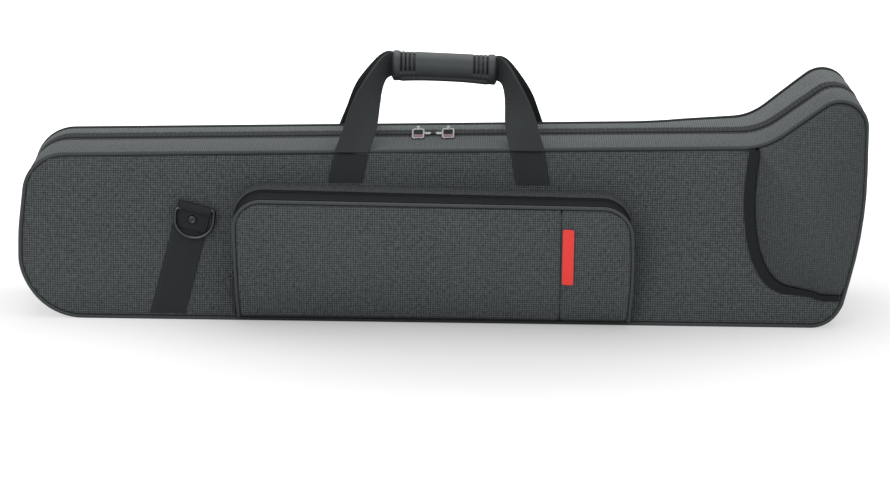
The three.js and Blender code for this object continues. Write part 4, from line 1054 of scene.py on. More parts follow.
class CASE_OT_gussets(bpy.types.Operator):
    """Bands of fabric round both shells, folded and stitched along the zip and a little crowned"""

    bl_idname = "case.gussets"
    bl_label = "Gussets"

    def execute(self, context):
        fabric = context.scene.case_sizes.fabric
        for prefix, (side, body) in SIDES.items():
            def across(share, lift=0.0):
                return lambda spot: shell_spot(side, spot, -0.0011 * math.sin(math.pi * share) - lift, share)

            def at_zip(inset, depth):
                return lambda spot: plane_spot(side, spot, inset, depth)

            edge = TAPE_WIDTH[side] - 0.0014
            fold = 0.0004 if side == FRONT else 0.0010
            outer = [at_zip(0.0004, edge), at_zip(-fold * 0.6, edge + 0.0003), at_zip(-fold, edge + 0.0011),
                     at_zip(-fold * 0.9, edge + 0.0022), at_zip(-0.0003, edge + 0.0034)]
            outer += [across(s) for s in (0.08, 0.2, 0.35, 0.5, 0.65, 0.8, 0.90)]
            drawn = 0.0 if side == FRONT else 0.0006
            outer += [lambda spot: face_spot(side, spot, drawn * 0.7 - 0.0001, 0.0086),
                      lambda spot: face_spot(side, spot, drawn + 0.0001, 0.0056),
                      lambda spot: face_spot(side, spot, 0.0010, 0.0036)]
            inner = [lambda spot: plane_spot(side, spot, 0.0004 + fabric, edge + 0.0004),
                     lambda spot: shell_spot(side, spot, fabric, 0.5),
                     lambda spot: face_spot(side, spot, 0.0012 + fabric, 0.0048)]
            piece = band(f"{prefix}_gusset_cloth", LINE, outer, inner)
            # Painted shade: each gusset's band next to its piping is marked to be drawn darker, a wider band behind.
            shadow = 0.0052 if side == FRONT else 0.0095
            paint_seam_shade(piece, lambda v: 0.9 if abs(v.co.y - ZIP_Y) > depth_at(side, v.co.x) - shadow else 0.0)
            dress(piece, finish(f"{prefix}_gusset_weave"), body, "gusset", f"{prefix}_gusset")
        return {"FINISHED"}


class CASE_OT_piping(bpy.types.Operator):
    """Cord covered in the case's own fabric, sewn between the gussets and the panels"""

    bl_idname = "case.piping"
    bl_label = "Piping"

    def execute(self, context):
        radius = context.scene.case_sizes.piping_radius
        for prefix, (side, body) in SIDES.items():
            piece = cord_tube(f"{prefix}_piping_cord", LINE,
                              lambda spot, a, b: face_spot(side, spot, radius - proud(side, spot) - a, radius - b),
                              radius)
            dress(piece, finish(f"{prefix}_piping_weave"), body, "piping", f"{prefix}_piping")
        return {"FINISHED"}


def tooth():
    """One bent tooth of the coil, along X, to be repeated"""
    pick_nothing()
    bpy.ops.mesh.primitive_cube_add(size=1)
    piece = started("tooth")
    piece.scale = (0.0015, 0.0028, 0.0012)
    settle(piece)
    edit_all()
    bpy.ops.mesh.bevel(offset=0.00035, segments=1)
    bpy.ops.object.mode_set(mode="OBJECT")
    return piece


def repeated(name, pattern, places):
    """Copies of a small pattern in one piece, each set in its own place"""
    body = bmesh.new()
    for place in places:
        copy = pattern.data.copy()
        copy.transform(place)
        body.from_mesh(copy)
        bpy.data.meshes.remove(copy)
    mesh = bpy.data.meshes.new(name)
    body.to_mesh(mesh)
    body.free()
    piece = bpy.data.objects.new(name, mesh)
    bpy.context.scene.collection.objects.link(piece)
    return smooth(piece, 50)


def line_places(points, outwards, pitch, start=0.0):
    """Places along a line, a pitch apart: X runs along it and Z points outwards"""
    places, at, run = [], start, 0.0
    for k in range(len(points) - 1):
        a, b = points[k], points[k + 1]
        span = (b - a).length
        along = (b - a).normalized()
        while at <= run + span:
            up = outwards[k].lerp(outwards[k + 1], (at - run) / span)
            up = (up - along * up.dot(along)).normalized()
            side = up.cross(along)
            places.append(Matrix.Translation(a + along * (at - run)) @ Matrix(
                (along, side, up)).transposed().to_4x4())
            at += pitch
        run += span
    return places


class CASE_OT_main_zip(bpy.types.Operator):
    """The main zip: two tapes and the coil inside the slit between them"""

    bl_idname = "case.main_zip"
    bl_label = "Main zip"

    def execute(self, context):
        pitch = context.scene.case_sizes.tooth_pitch
        pattern = tooth()
        for prefix, (side, body) in SIDES.items():
            def at(inset, depth):
                return lambda spot: plane_spot(side, spot, inset, depth)

            edge = TAPE_WIDTH[side] - 0.0003
            outer = [at(0.0019, 0.0026), at(0.0008, 0.0028), at(0.0002, 0.0037), at(-0.0001, 0.0055),
                     at(-0.0001, 0.0090), at(0.0, edge - 0.0027), at(0.0003, edge)]
            inner = [at(0.0021, 0.0031), at(0.0012, 0.0062), at(0.0011, edge)]
            piece = loft(f"{prefix}_zip_tape", [[place(s) for s in ZIP_LINE] for place in (*outer, *reversed(inner))],
                         loop=False)
            dress(piece, finish("zip_tape"), body, "tape", f"zip_tape_{prefix}")
            points = [plane_spot(side, s, 0.0021, 0.0013) for s in ZIP_LINE]
            outwards = [Vector((s.nx, 0, s.nz)) for s in ZIP_LINE]
            row = repeated(f"{prefix}_zip_teeth", pattern, line_places(
                points, outwards, pitch, pitch * (0.5 if side == FRONT else 1.0)))
            dress(row, finish("zip_teeth"), body, "coil", f"zip_coil_{prefix}")
        bpy.data.objects.remove(pattern)
        return {"FINISHED"}


class CASE_OT_spine(bpy.types.Operator):
    """The strip of fabric along the foot that both shells are sewn to: the case's hinge"""

    bl_idname = "case.spine"
    bl_label = "Fabric hinge"

    def execute(self, context):
        ahead, behind = TAPE_WIDTH[FRONT], TAPE_WIDTH[REAR]
        depths = [-ahead, -ahead + 0.0012, -0.0115, -0.008, -0.005, -0.0025, 0.0, 0.0025, 0.005, 0.008, 0.0115,
                  0.0170, behind - 0.0012, behind]
        rows = [[plane_spot(REAR, s, 0.0001 if -ahead < d < behind else 0.0004, d) for s in SPINE_LINE]
                for d in depths]
        rows += [[plane_spot(REAR, s, 0.0012, d) for s in SPINE_LINE] for d in reversed(depths)]
        piece = loft("spine_cloth", rows, loop=False)
        piece.data.materials.append(finish("gusset_weave"))
        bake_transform(piece)
        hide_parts("spine_strip_rear", "spine_strip_front")
        return {"FINISHED"}


# Bell gore


SEAM_SHARES = [(0, 1), (-0.05, 0.68), (-0.022, 0.42), (0.06, 0.235), (0.19, 0.105), (0.345, 0.042), (0.53, 0.022),
               (0.71, 0.004), (0.84, -0.018), (1.2, -0.018)]


def foot_taper(x):
    """From 0 on the upright part of the gore's seam to 1 along its foot"""
    return smooth_share((x - 0.362) / 0.05)


def gore_seam(offset, count=60, foot_offset=None):
    """The seam of the gore, from the neck down and round to the bell end, set over by an offset"""
    width, height = RIGHT_END - BELL_END_LEAN - GORE_TOP_X, NECK_HEIGHT - GORE_FOOT
    points = [Vector((GORE_TOP_X + a * width, GORE_FOOT + b * height)) for a, b in SEAM_SHARES]
    last = len(points) - 1

    def at(t):
        p = min(last * t, last - 1e-9)
        k = int(p)
        w = p - k
        a, b, c, d = points[max(0, k - 1)], points[k], points[min(last, k + 1)], points[min(last, k + 2)]
        m, n = (c - a) * 0.5, (d - b) * 0.5
        return (b * 2 - c * 2 + m + n) * w ** 3 + (c * 3 - b * 3 - m * 2 - n) * w ** 2 + m * w + b

    found = []
    for k in range(count + 1):
        t = k / count
        ahead = (at(min(1.0, t + 0.004)) - at(max(0.0, t - 0.004))).normalized()
        here = at(t)
        over = offset if foot_offset is None else offset + (foot_offset - offset) * foot_taper(here.x)
        found.append(Vector((here.x - ahead.y * over, here.y + ahead.x * over)))
    return found


def inset_line(inset, side=FRONT):
    """The outline of the case set in from its piping, as points of X and Z"""
    return [Vector((s.x, s.z)) - Vector((s.nx, s.nz)) * (inset - proud(side, s)) for s in LINE]


def inside(point, border):
    """Whether a point lies in a border"""
    within = False
    for a, b in zip(border, border[1:] + border[:1]):
        if (a.y > point.y) != (b.y > point.y) and point.x < a.x + (point.y - a.y) * (b.x - a.x) / (b.y - a.y):
            within = not within
    return within


def gore_border(offset, foot_offset, inset):
    """The border of the gore: the case's edge round the bell, and back along the seam"""
    border = inset_line(inset)
    seam = gore_seam(offset, foot_offset=foot_offset)
    edge = [p for p in border if p.x > seam[0].x and p.y > seam[-1].y]
    kept = [p for p in seam if inside(p, border)]
    return edge + kept[::-1]


def panel_border(offset, inset):
    """The border of the flat front panel, up to the gore's seam"""
    border = inset_line(inset)
    seam = gore_seam(offset)
    kept = [p for p in seam if inside(p, border)]
    leaves = next(k for k, p in enumerate(border) if p.x > seam[0].x and p.y > 0.1)
    returns = max(k for k, p in enumerate(border) if p.y > seam[-1].y and p.x > 0.3)
    return border[:leaves] + kept + border[returns + 1:]


def near_strip(point, a, b, half):
    """Whether a point lies within half a width of a straight strip"""
    along = b - a
    share = max(0.0, min(1.0, (point - a).dot(along) / along.length_squared))
    return (point - (a + along * share)).length < half


def near_legs(point, foot):
    """Whether a point lies under the handle's webbing, above its sewn foot"""
    return point.y > foot and any(abs(point.x - x) < 0.024 for x in HANDLE_X.values())


def panel(prefix, border, is_sewn):
    """A panel cut to its border, blown out by the foam between the places where it is sewn"""
    sizes, side = bpy.context.scene.case_sizes, SIDES[prefix][0]
    piece = cut_cloth(f"{prefix}_panel_cloth", [tuple(p) for p in border], side)
    held = edge_points(piece) | {v.index for v in piece.data.vertices if is_sewn(Vector((v.co.x, v.co.z)))}

    def place(co):
        depth = depth_at(side, co.x)
        return Vector((co.x - lean_in(side, co.x, depth), ZIP_Y + side * depth, co.z))

    # Painted shade round the panel's rim beside the piping.
    tucked_in(piece, place, side)
    blown(piece, held, 3.0, sizes.panel_swell)
    return sewn_down(piece, sizes.fabric)


class CASE_OT_panels(bpy.types.Operator):
    """The front and rear panels, pushed out by the foam between the places where they are sewn"""

    bl_idname = "case.panels"
    bl_label = "Panels"

    def execute(self, context):
        def sewn_in_front(p):
            pocket = (POCKET_LEFT - 0.004 < p.x < POCKET_RIGHT + 0.004) and p.y < 0.152
            ring = near_strip(p, Vector((-0.302, 0.008)), Vector((-0.270, 0.140)), 0.021)
            return pocket or ring or near_legs(p, 0.15)

        def sewn_behind(p):
            return near_legs(p, 0.138) or near_strip(p, Vector((0.176, 0.106)), Vector((0.184, 0.140)), 0.020)

        front = panel("front", panel_border(0.003, 0.0036), sewn_in_front)
        dress(front, finish("panel_weave"), "lid", "weave", "front_panel")
        rear = panel("rear", inset_line(0.0036, REAR), sewn_behind)
        dress(rear, finish("panel_weave"), "base", "weave", "rear_panel")
        return {"FINISHED"}


class CASE_OT_bell_gore(bpy.types.Operator):
    """The domed gore over the bell and the tape that binds its seam"""

    bl_idname = "case.bell_gore"
    bl_label = "Bell gore"

    def execute(self, context):
        fabric = context.scene.case_sizes.fabric
        border = gore_border(0.0046, 0.0022, 0.0036)
        rows = []
        for k in range(19):
            drawn = (max(0, k - 1) / 17) ** 1.15 * 0.94 + (0.030 if k else 0)
            out = FRONT_DEPTH + GORE_BULGE * (1 - (1 - drawn) ** 2) - (0 if k else 0.0012)
            rows.append([Vector((p.x + (GORE_MIDDLE.x - p.x) * drawn, ZIP_Y - out,
                                 p.y + (GORE_MIDDLE.y - p.y) * drawn)) for p in border])
        piece = loft("bell_gore_cloth", rows, tube=False)
        pick(piece)
        bpy.ops.object.mode_set(mode="EDIT")
        close_openings(piece, lambda edge: all(
            abs(v.co.x - GORE_MIDDLE.x) < 0.008 and abs(v.co.z - GORE_MIDDLE.y) < 0.008 for v in edge.verts))
        laid_flat(piece, FRONT)
        # Painted shade round the gore's rim.
        rim = edge_points(piece)
        paint_seam_shade(piece, lambda v: 1.0 if v.index in rim else 0.0)
        finish_with(piece, "SOLIDIFY", thickness=fabric, offset=-1)
        smooth(piece, 50)
        dress(piece, finish("gore_weave_painted_shade"), "lid", "weave", "bell_gore")

        border = inset_line(0.0034)
        middle = [p for p in gore_seam(0.0, 90) if inside(p, border)]
        stations = []
        for k, p in enumerate(middle):
            ahead = heading(middle, k)
            curl = Vector((0, -0.0012, 0))
            width = Vector((-ahead.y, 0, ahead.x)) * (0.0056 - 0.0022 * foot_taper(p.x)) + curl
            place = Vector((p.x, ZIP_Y - FRONT_DEPTH - 0.0027, p.y))
            stations.append((place, width, Vector((0, -0.0006, 0))))
        tape = strap("bell_seam_tape", stations)
        dress(tape, finish("seam_tape"), "lid", "tape", "bell_tape")
        return {"FINISHED"}


# Pocket


POCKET_CUTS = [14, 44, 13]


def pocket_line(spread, left_top, right_top):
    """The pocket's outline from its left foot to its right foot"""
    left, right = POCKET_LEFT - spread, POCKET_RIGHT + spread
    return rounded_line([(left, POCKET_FOOT), (left, left_top, 0.032), (right, right_top, 0.032),
                         (right, POCKET_FOOT)], closed=False, cuts=POCKET_CUTS, arc_steps=14)


def bowed(spot):
    """The pocket's front sides stand out at mid height on the right and draw in at the left foot"""
    t = max(0.0, min(1.0, spot.z / 0.140))
    edge = smooth_share((abs(spot.x) - 0.10) / 0.10)
    shift = 0.0038 * math.sin(math.pi * t) if spot.x > 0 else 0.0055 * (1 - t) ** 2
    return Spot(spot.x + shift * edge, spot.z, spot.nx, spot.nz)


SEAM_RIM = pocket_line(0.0, 0.1562, 0.1494)
FRONT_RIM = [bowed(s) for s in pocket_line(0.002, 0.1464, 0.1432)]


def pocket_depth(z):
    """How far the pocket stands out from the panel at a height"""
    return 0.012 + 0.038 * (max(0.0, z - POCKET_FOOT) / 0.142) ** 0.6


def rim_point(k, inset, out):
    """A point of the pocket's rim, set in from it, at a distance out from the panel"""
    back, front = SEAM_RIM[k], FRONT_RIM[k]
    share = out / pocket_depth(front.z)
    return Vector((back.x + (front.x - back.x) * share - front.nx * inset, ZIP_Y - POCKET_BACK - out,
                   back.z + (front.z - back.z) * share - front.nz * inset))


def rim_rows(places, upright=1.0):
    """Rows round the rim from (inset, depth share, added depth), with the shares changed on the uprights"""
    def reach(spot):
        return 1 - (1 - upright) * (1 - smooth_share((spot.z - 0.095) / 0.035))

    return [[rim_point(k, inset, pocket_depth(spot.z) * share * reach(spot) + more)
             for k, spot in enumerate(FRONT_RIM)] for inset, share, more in places]


def pocket_cloth(name, left_side, swell):
    """One piece of the pocket's front, blown out between its seams"""
    edge = [Vector((s.x - s.nx * 0.0032, s.z - s.nz * 0.0032)) for s in FRONT_RIM]
    kept = [p for p in edge if (p.x < POCKET_SEAM_X) == left_side]
    top = next(p.y for p in (reversed(kept) if left_side else kept))
    seam = [Vector((POCKET_SEAM_X, top + (POCKET_FOOT - top) * k / 12)) for k in range(13)]
    outline = kept + seam if left_side else kept + seam[::-1]
    piece = cut_cloth(name, [tuple(p) for p in outline], FRONT, 0.010)
    held = edge_points(piece)
    # Painted shade round each pocket piece's rim, lighter along the upright seam.
    tucked_in(piece, lambda co: Vector((co.x, ZIP_Y - POCKET_BACK - pocket_depth(co.z), co.z)), FRONT, 0.0009,
              lambda co: 0.55 if abs(co.x - POCKET_SEAM_X) < 0.001 else 1.0)
    return blown(piece, held, 5.0, swell)


class CASE_OT_pocket(bpy.types.Operator):
    """The front pocket: a strip of fabric at the panel, black tapes with a zip, piping and two panels"""

    bl_idname = "case.pocket"
    bl_label = "Pocket"

    def execute(self, context):
        sizes = context.scene.case_sizes
        strip = loft("pocket_seam_cloth", rim_rows([
            (-0.0018, 0.0, 0.0), (-0.0022, 0.0, 0.0012), (-0.0018, 0.06, 0.0), (-0.0014, 0.14, 0.0),
            (-0.0013, 0.26, 0.0), (-0.0014, 0.33, 0.0), (-0.0013, 0.375, 0.0), (-0.0004, 0.385, 0.0),
            (-0.0002, 0.36, 0.0), (-0.0002, 0.21, 0.0), (0.0010, 0.19, 0.0), (0.0010, 0.05, 0.0)], 0.86), loop=False)
        foot = ZIP_Y - POCKET_BACK
        # Painted shade where the strip meets the panel.
        paint_seam_shade(strip, lambda v: 1.0 if v.co.y > foot - 0.0004 else 0.0)
        dress(strip, finish("strip_weave_painted_shade"), "lid", "gusset", "pocket_gusset")
        back = loft("pocket_tape_back", rim_rows([
            (0.0002, 0.2, 0.0002), (-0.0001, 0.26, 0.0), (0.0, 0.36, 0.0), (0.0004, 0.45, -0.0018),
            (0.0010, 0.45, -0.0009), (0.0014, 0.45, -0.0012), (0.0014, 0.3, 0.0), (0.0012, 0.2, 0.0002)]), loop=False)
        dress(back, finish("pocket_tape"), "lid", "tape", "pocket_zip_tape_rear")
        ahead = loft("pocket_tape_ahead", rim_rows([
            (0.0014, 0.45, 0.0012), (0.0010, 0.45, 0.0009), (0.0004, 0.45, 0.0018), (0.0, 0.6, 0.0),
            (0.0004, 0.8, 0.0), (0.0, 1.0, -0.0042), (0.0012, 1.0, -0.0046), (0.0014, 0.7, 0.0)]), loop=False)
        dress(ahead, finish("pocket_tape"), "pocket_flap", "tape", "pocket_zip_tape_front")
        pattern = tooth()
        pattern.data.transform(Matrix.Diagonal((0.75, 0.8, 0.8, 1)))
        outwards = [Vector((s.nx, 0, s.nz)) for s in FRONT_RIM]
        for name, side, body in (("back", -1, "lid"), ("ahead", 1, "pocket_flap")):
            points = [rim_point(k, 0.0018, pocket_depth(s.z) * 0.45 + side * 0.0009) for k, s in enumerate(FRONT_RIM)]
            row = repeated(f"pocket_teeth_{name}", pattern,
                           line_places(points, outwards, 0.0021, 0.0010 if side < 0 else 0.0020))
            dress(row, finish("zip_teeth"), body, "coil")
        bpy.data.objects.remove(pattern)

        radius = sizes.pocket_piping_radius
        rows = [[rim_point(k, radius * (1 - c), pocket_depth(spot.z) - radius * (1 - s))
                 for k, spot in enumerate(FRONT_RIM)] for c, s in round_section(12)]
        piping = loft("pocket_piping_cord", rows, loop=False)
        dress(piping, finish("front_piping_weave"), "pocket_flap", "piping", "pocket_piping")

        main = pocket_cloth("pocket_front_cloth", True, sizes.pocket_swell)
        sewn_down(main, sizes.fabric)
        dress(main, finish("panel_weave"), "pocket_flap", "weave", "pocket_front_panel")
        other = pocket_cloth("pocket_side_cloth", False, sizes.pocket_swell)
        sewn_down(other, sizes.fabric)
        dress(other, finish("panel_weave"), "pocket_flap", "weave", "pocket_side_panel")

        low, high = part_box("pocket_floor")
        floor = cut_cloth("pocket_foot_cloth", [(low.x, low.y), (low.x, high.y), (high.x, high.y), (high.x, low.y)],
                          FRONT, 0.012)
        place_all(floor, lambda co: Vector((co.x, co.z, POCKET_FOOT + sizes.fabric + 0.0003 * math.sin(
            math.pi * (co.x - low.x) / (high.x - low.x)))))
        pick(floor)
        finish_with(floor, "SOLIDIFY", thickness=sizes.fabric, offset=1)
        edit_all()
        face_outward()
        dress(floor, finish("gusset_weave"), "pocket_flap", "gusset", "pocket_floor")
        return {"FINISHED"}


class CASE_OT_label(bpy.types.Operator):
    """The plain ribbon sewn in at the pocket's upright seam"""

    bl_idname = "case.label"
    bl_label = "Ribbon label"

    def execute(self, context):
        low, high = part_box("pocket_label")
        low, high = low + Vector((0.0018, 0, -0.0055)), high + Vector((0.0018, 0, -0.0005))
        carrier = bpy.data.objects["pocket_side_cloth"]
        stations = []
        corner = 0.0022
        for k in range(33):
            z = low.z + (high.z - low.z) * (0.5 - 0.5 * math.cos(math.pi * k / 32))
            short = max(0.0, corner - min(z - low.z, high.z - z))
            rounding = corner - math.sqrt(corner ** 2 - short ** 2)
            hit, place, *_ = carrier.ray_cast(Vector(((low.x + high.x) / 2, -1, z)), Vector((0, 1, 0)))
            if not hit:
                raise RuntimeError("the label has no cloth behind it")
            out = place.y - 0.0012
            edge, edge_place, *_ = carrier.ray_cast(Vector((low.x + 0.001, -1, z)), Vector((0, 1, 0)))
            near = (edge_place.y if edge else place.y) - 0.0010
            half = Vector(((high.x - low.x) / 2 - rounding, (out - near) * 0.8, 0))
            stations.append((Vector(((low.x + high.x) / 2, out - 0.0002, z)), half, Vector((0, -0.0004, 0))))
        piece = strap("pocket_ribbon", stations, across=8)
        dress(piece, finish("label_ribbon"), "pocket_flap", "label", "pocket_label")
        return {"FINISHED"}


# Handle


def leg_stations(side, end):
    """Webbing from the top of a panel up to one end of the grip, turning on edge as it goes"""
    x = HANDLE_X[end]
    up = Vector((0, 0, 1))
    foot = Vector((x, ZIP_Y + side * (depth_at(side, x) + 0.0036), top_at(x) - 0.0008))
    head = Vector((end * (GRIP_LENGTH / 2 + GRIP_RADIUS * 0.5), ZIP_Y + side * GRIP_RADIUS * 0.62, GRIP_Z))
    tuck = Vector((end * (GRIP_LENGTH / 2 - 0.004), ZIP_Y + side * 0.0024, GRIP_Z))
    stations = []
    for k in range(15):
        t = k / 14
        place = foot.lerp(head, t) + Vector((0, side * 0.004, 0.003)) * math.sin(math.pi * t)
        width = Vector((end, 0, 0)).lerp(up, t).normalized() * (WEBBING_HALF - 0.0046 * smooth_share(t))
        ahead = (head - foot) * -end
        out = width.cross(ahead).normalized() * (0.0008 + 0.0011 * smooth_share(t))
        stations.append((place, width, out))
    for k in range(1, 6):
        t = k / 5
        place = head.lerp(tuck, t)
        tall = up * (0.0144 - 0.0014 * t)
        out = tall.cross(Vector((1, 0, 0))).normalized() * 0.0019
        stations.append((place, tall, out))
    return eased(stations, 7)


class CASE_OT_handle(bpy.types.Operator):
    """Webbing sewn to both panels, a loop on each shell, and the two halves of the moulded grip"""

    bl_idname = "case.handle"
    bl_label = "Handle"

    def execute(self, context):
        thick = context.scene.case_sizes.webbing
        for prefix, (side, body) in SIDES.items():
            for end, word in ENDS:
                node = f"handle_webbing_{prefix}_{word}"
                x = HANDLE_X[end]
                foot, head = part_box(node)[0].z, top_at(x) - 0.002
                lean = end * (0.0065 if side == FRONT else 0.002)
                stations = []
                for k in range(13):
                    t = k / 12
                    z = head + (foot - head) * t
                    face = depth_at(side, x) + 0.0003 + thick / 2
                    over = 0.0030 * max(0.0, 1 - t / 0.14) ** 2
                    stations.append((Vector((x + lean * t, ZIP_Y + side * (face - over), z)),
                                     Vector((WEBBING_HALF, 0, 0)), Vector((0, side * thick / 2, 0))))
                piece = strap(f"sewn_webbing_{prefix}_{word}", stations)
                dress(piece, finish("handle_webbing"), body, "webbing", node)
            moving = f"handle_{prefix}"
            legs = [strap(f"loop_leg_{word}", leg_stations(side, end), across=10)
                    for end, word in ENDS]
            up = Vector((0, 0, 1))
            inner = strap("loop_core", [(Vector((GRIP_LENGTH * (k / 12 - 0.5) * 0.94, ZIP_Y + side * 0.0024, GRIP_Z)),
                                         up * 0.013, Vector((0, side * 0.0017, 0))) for k in range(13)])
            loop = joined(f"handle_loop_cloth_{prefix}", [*legs, inner])
            dress(hung(loop), finish("handle_webbing"), moving, "webbing", f"handle_loop_{prefix}")
            grip = hung(grip_half(f"grip_half_{prefix}", side))
            dress(grip, finish("grip_rubber"), moving, "rubber", f"grip_{prefix}")
        return {"FINISHED"}


def grip_half(name, side):
    """Half of the grip: an arched, rounded shape with grooves near its ends and a lip along its foot"""
    half = GRIP_LENGTH / 2
    stations = []
    x = -half
    while x < half + 1e-9:
        stations.append(x)
        x += 0.0009
    stations = sorted({*stations, half})
    angles = [math.pi / 2 - math.pi * k / 45 for k in range(46)]
    shadows = {}

    def section(x):
        u = abs(x) / half
        near_end = max(0.0, (abs(x) - (half - 0.004)) / 0.004)
        drawn = math.sqrt(max(0.0, 1 - 0.55 * near_end ** 2))
        bulge = 0.0008 * math.exp(-((u - 0.9) / 0.1) ** 2)
        under = 0.0166 + 0.0026 * min(1.0, u / 0.92) ** 2.4
        points = []
        for a in angles:
            low = math.sin(a) < 0
            reach_z = under if low else GRIP_RADIUS + bulge - 0.0010
            reach_y = GRIP_RADIUS - 0.0008 + bulge
            degrees = math.degrees(a)
            groove = 0.0
            if degrees > -28:
                fade = min(1.0, (degrees + 28) / 10)
                for g in GROOVES:
                    groove = max(groove, math.exp(-((abs(x) - g) / 0.0011) ** 2) * fade)
            cut = 0.0021 * groove
            if u < GRIP_SEAM_END:
                ends = min(1.0, (GRIP_SEAM_END - u) / 0.08)
                line = ends * math.exp(-((degrees + 50) / 5.5) ** 2)
                groove = max(groove, line)
                cut += 0.0029 * line
                cut -= 0.0012 * ends * math.exp(-((degrees + 72) / 12) ** 2)
            if low and u < GRIP_SEAM_END:
                reach_y += 0.0008 * ends * max(0.0, -math.sin(a) - 0.76)
            y = (reach_y - cut) * math.cos(a) * drawn
            z = (reach_z - cut) * math.sin(a) * drawn
            points.append(Vector((x, ZIP_Y + side * (0.00015 + y), GRIP_Z + z)))
            shadows[tuple(round(c, 5) for c in points[-1])] = groove
        slot = 0.0135
        for out, z in ((0.00015, -slot), (0.0046, -slot), (0.0046, slot), (0.00015, slot)):
            level = max(-under * drawn * 0.96, z * min(1, drawn + 0.05))
            points.append(Vector((x, ZIP_Y + side * out, GRIP_Z + level)))
        return points

    sections = [section(x) for x in stations]
    rows = [[s[k] for s in sections] for k in range(len(sections[0]))]
    piece = loft(name, rows, loop=False)
    # Painted shade in the grooves and along the moulded seam line.
    paint_seam_shade(piece, lambda v: shadows.get(tuple(round(c, 5) for c in v.co), 0.0))
    return smooth(piece, 50)


def hung(piece):
    """Lets the grip and its webbing hang a little lower, and lower still on the right, as they are carried"""
    def place(co):
        share = smooth_share((co.z - 0.212) / 0.040)
        drop = share * (0.0012 + co.x * math.tan(GRIP_DROOP))
        return Vector((co.x * (1 + 0.036 * share), co.y, co.z - drop))

    return place_all(piece, place)


# Metalwork


def line_tilt():
    """Slope of the top line between the two legs of the handle"""
    left, right = HANDLE_X[-1], HANDLE_X[1]
    return math.atan2(top_at(right) - top_at(left), right - left)


def rounded_box(width, height, radius, middle):
    """Points of a rounded rectangle in X and Z, clockwise"""
    x, z = middle
    corners = [(x - width / 2, z - height / 2, radius), (x - width / 2, z + height / 2, radius),
               (x + width / 2, z + height / 2, radius), (x + width / 2, z - height / 2, radius)]
    return [(s.x, s.z) for s in rounded_line(corners, cuts=[5, 8, 5, 8], arc_steps=5)]


FLAT = Matrix(((1, 0, 0), (0, 0, 1), (0, 1, 0))).to_4x4()


def slider_place(end):
    """Where a slider of the main zip sits on the top line, left or right of the middle"""
    x = SLIDERS_MIDDLE_X + end * SLIDER_FROM_MIDDLE
    return Matrix.Translation((x, ZIP_Y, top_at(x) + 0.0003)) @ Matrix.Rotation(-line_tilt(), 4, "Y")


def main_slider(name, end):
    """A slider with a waisted plate, a bridge along it and its side walls"""
    nose = [(-0.0100, -0.0026), (-0.0078, -0.0044), (-0.0030, -0.0050), (0.0040, -0.0055), (0.0088, -0.0052),
            (0.0100, -0.0040), (0.0100, 0.0040), (0.0088, 0.0052), (0.0040, 0.0055), (-0.0030, 0.0050),
            (-0.0078, 0.0044), (-0.0100, 0.0026)]
    nose = [(x * -end, z) for x, z in nose]
    plate = shaped_plate("plate", nose, 0.0014, FLAT)
    bevelled(plate, 0.0005, 2)
    crown = shaped_plate("crown", [(x * 0.62, z * 0.5) for x, z in nose], 0.0008,
                         Matrix.Translation((0, 0, 0.0011)) @ FLAT)
    bevelled(crown, 0.0003, 2)
    middle = end * BRIDGE_FROM_MIDDLE
    path = []
    for k in range(25):
        a = math.pi * k / 24
        path.append(Vector((middle - BRIDGE_HALF * math.cos(a), 0, BRIDGE_FOOT + BRIDGE_RISE * math.sin(a) ** 0.55)))
    stations = []
    for k, p in enumerate(path):
        ahead = heading(path, k)
        out = Vector((-ahead.z, 0, ahead.x))
        stations.append((p, Vector((0, 0.0014 - 0.0003 * math.sin(math.pi * k / 24), 0)), out * 0.0007))
    bridge = strap(name + "_bridge", stations, across=4)
    piece = joined(name, [plate, crown])
    piece.data.transform(slider_place(end))
    bridge.data.transform(slider_place(end))
    return piece, bridge


def pull_frame(name, end):
    """A pull: an eye round the bridge, a neck, and a frame round a window over a dull inlay"""
    outer = rounded_box(0.0140, 0.0336, 0.0032, (0, -0.0190))
    window = rounded_box(0.0104, 0.0284, 0.0012, (0, -0.0188))
    rows = []
    for share, lift in ((0.0, -0.0005), (0.12, -0.0009), (0.45, -0.0009), (0.8, -0.0008), (1.0, -0.0005),
                        (1.0, 0.0005), (0.8, 0.0008), (0.45, 0.0009), (0.12, 0.0009), (0.0, 0.0005)):
        rows.append([Vector((a[0] + (b[0] - a[0]) * share, a[1] + (b[1] - a[1]) * share, lift))
                     for a, b in zip(outer, window)])
    ring = loft("frame", rows)
    rows = []
    for c, s in round_section(8):
        radius = EYE_RADIUS + EYE_THICK * c
        rows.append([Vector((EYE_HALF * s, y * radius, z * radius)) for y, z in round_section(24)])
    eye = loft("eye", rows)
    neck = shaped_plate("neck", rounded_box(0.0052, 0.0034, 0.0009, (0, -0.0033)), 0.0018,
                        Matrix.Translation((0, 0, -0.0009)) @ FLAT)
    bevelled(neck, 0.0004, 2)
    piece = joined(name, [ring, eye, neck])
    pivot = Matrix.Translation((end * BRIDGE_FROM_MIDDLE, 0, PULL_AXIS_HEIGHT))
    place = slider_place(end) @ pivot @ Matrix.Rotation(PULL_DROOP, 4, "X")
    piece.data.transform(place)
    inlays = []
    for word, height, middle in (("inlay", 0.0118, -0.0273), ("backing", 0.0170, -0.0129)):
        inlay = shaped_plate(f"{name}_{word}", rounded_box(0.0110, height, 0.0010, (0, middle)), 0.0010,
                             Matrix.Translation((0, 0, -0.0006)) @ FLAT)
        bevelled(inlay, 0.0003, 2)
        inlay.data.transform(place)
        inlays.append(inlay)
    return piece, inlays


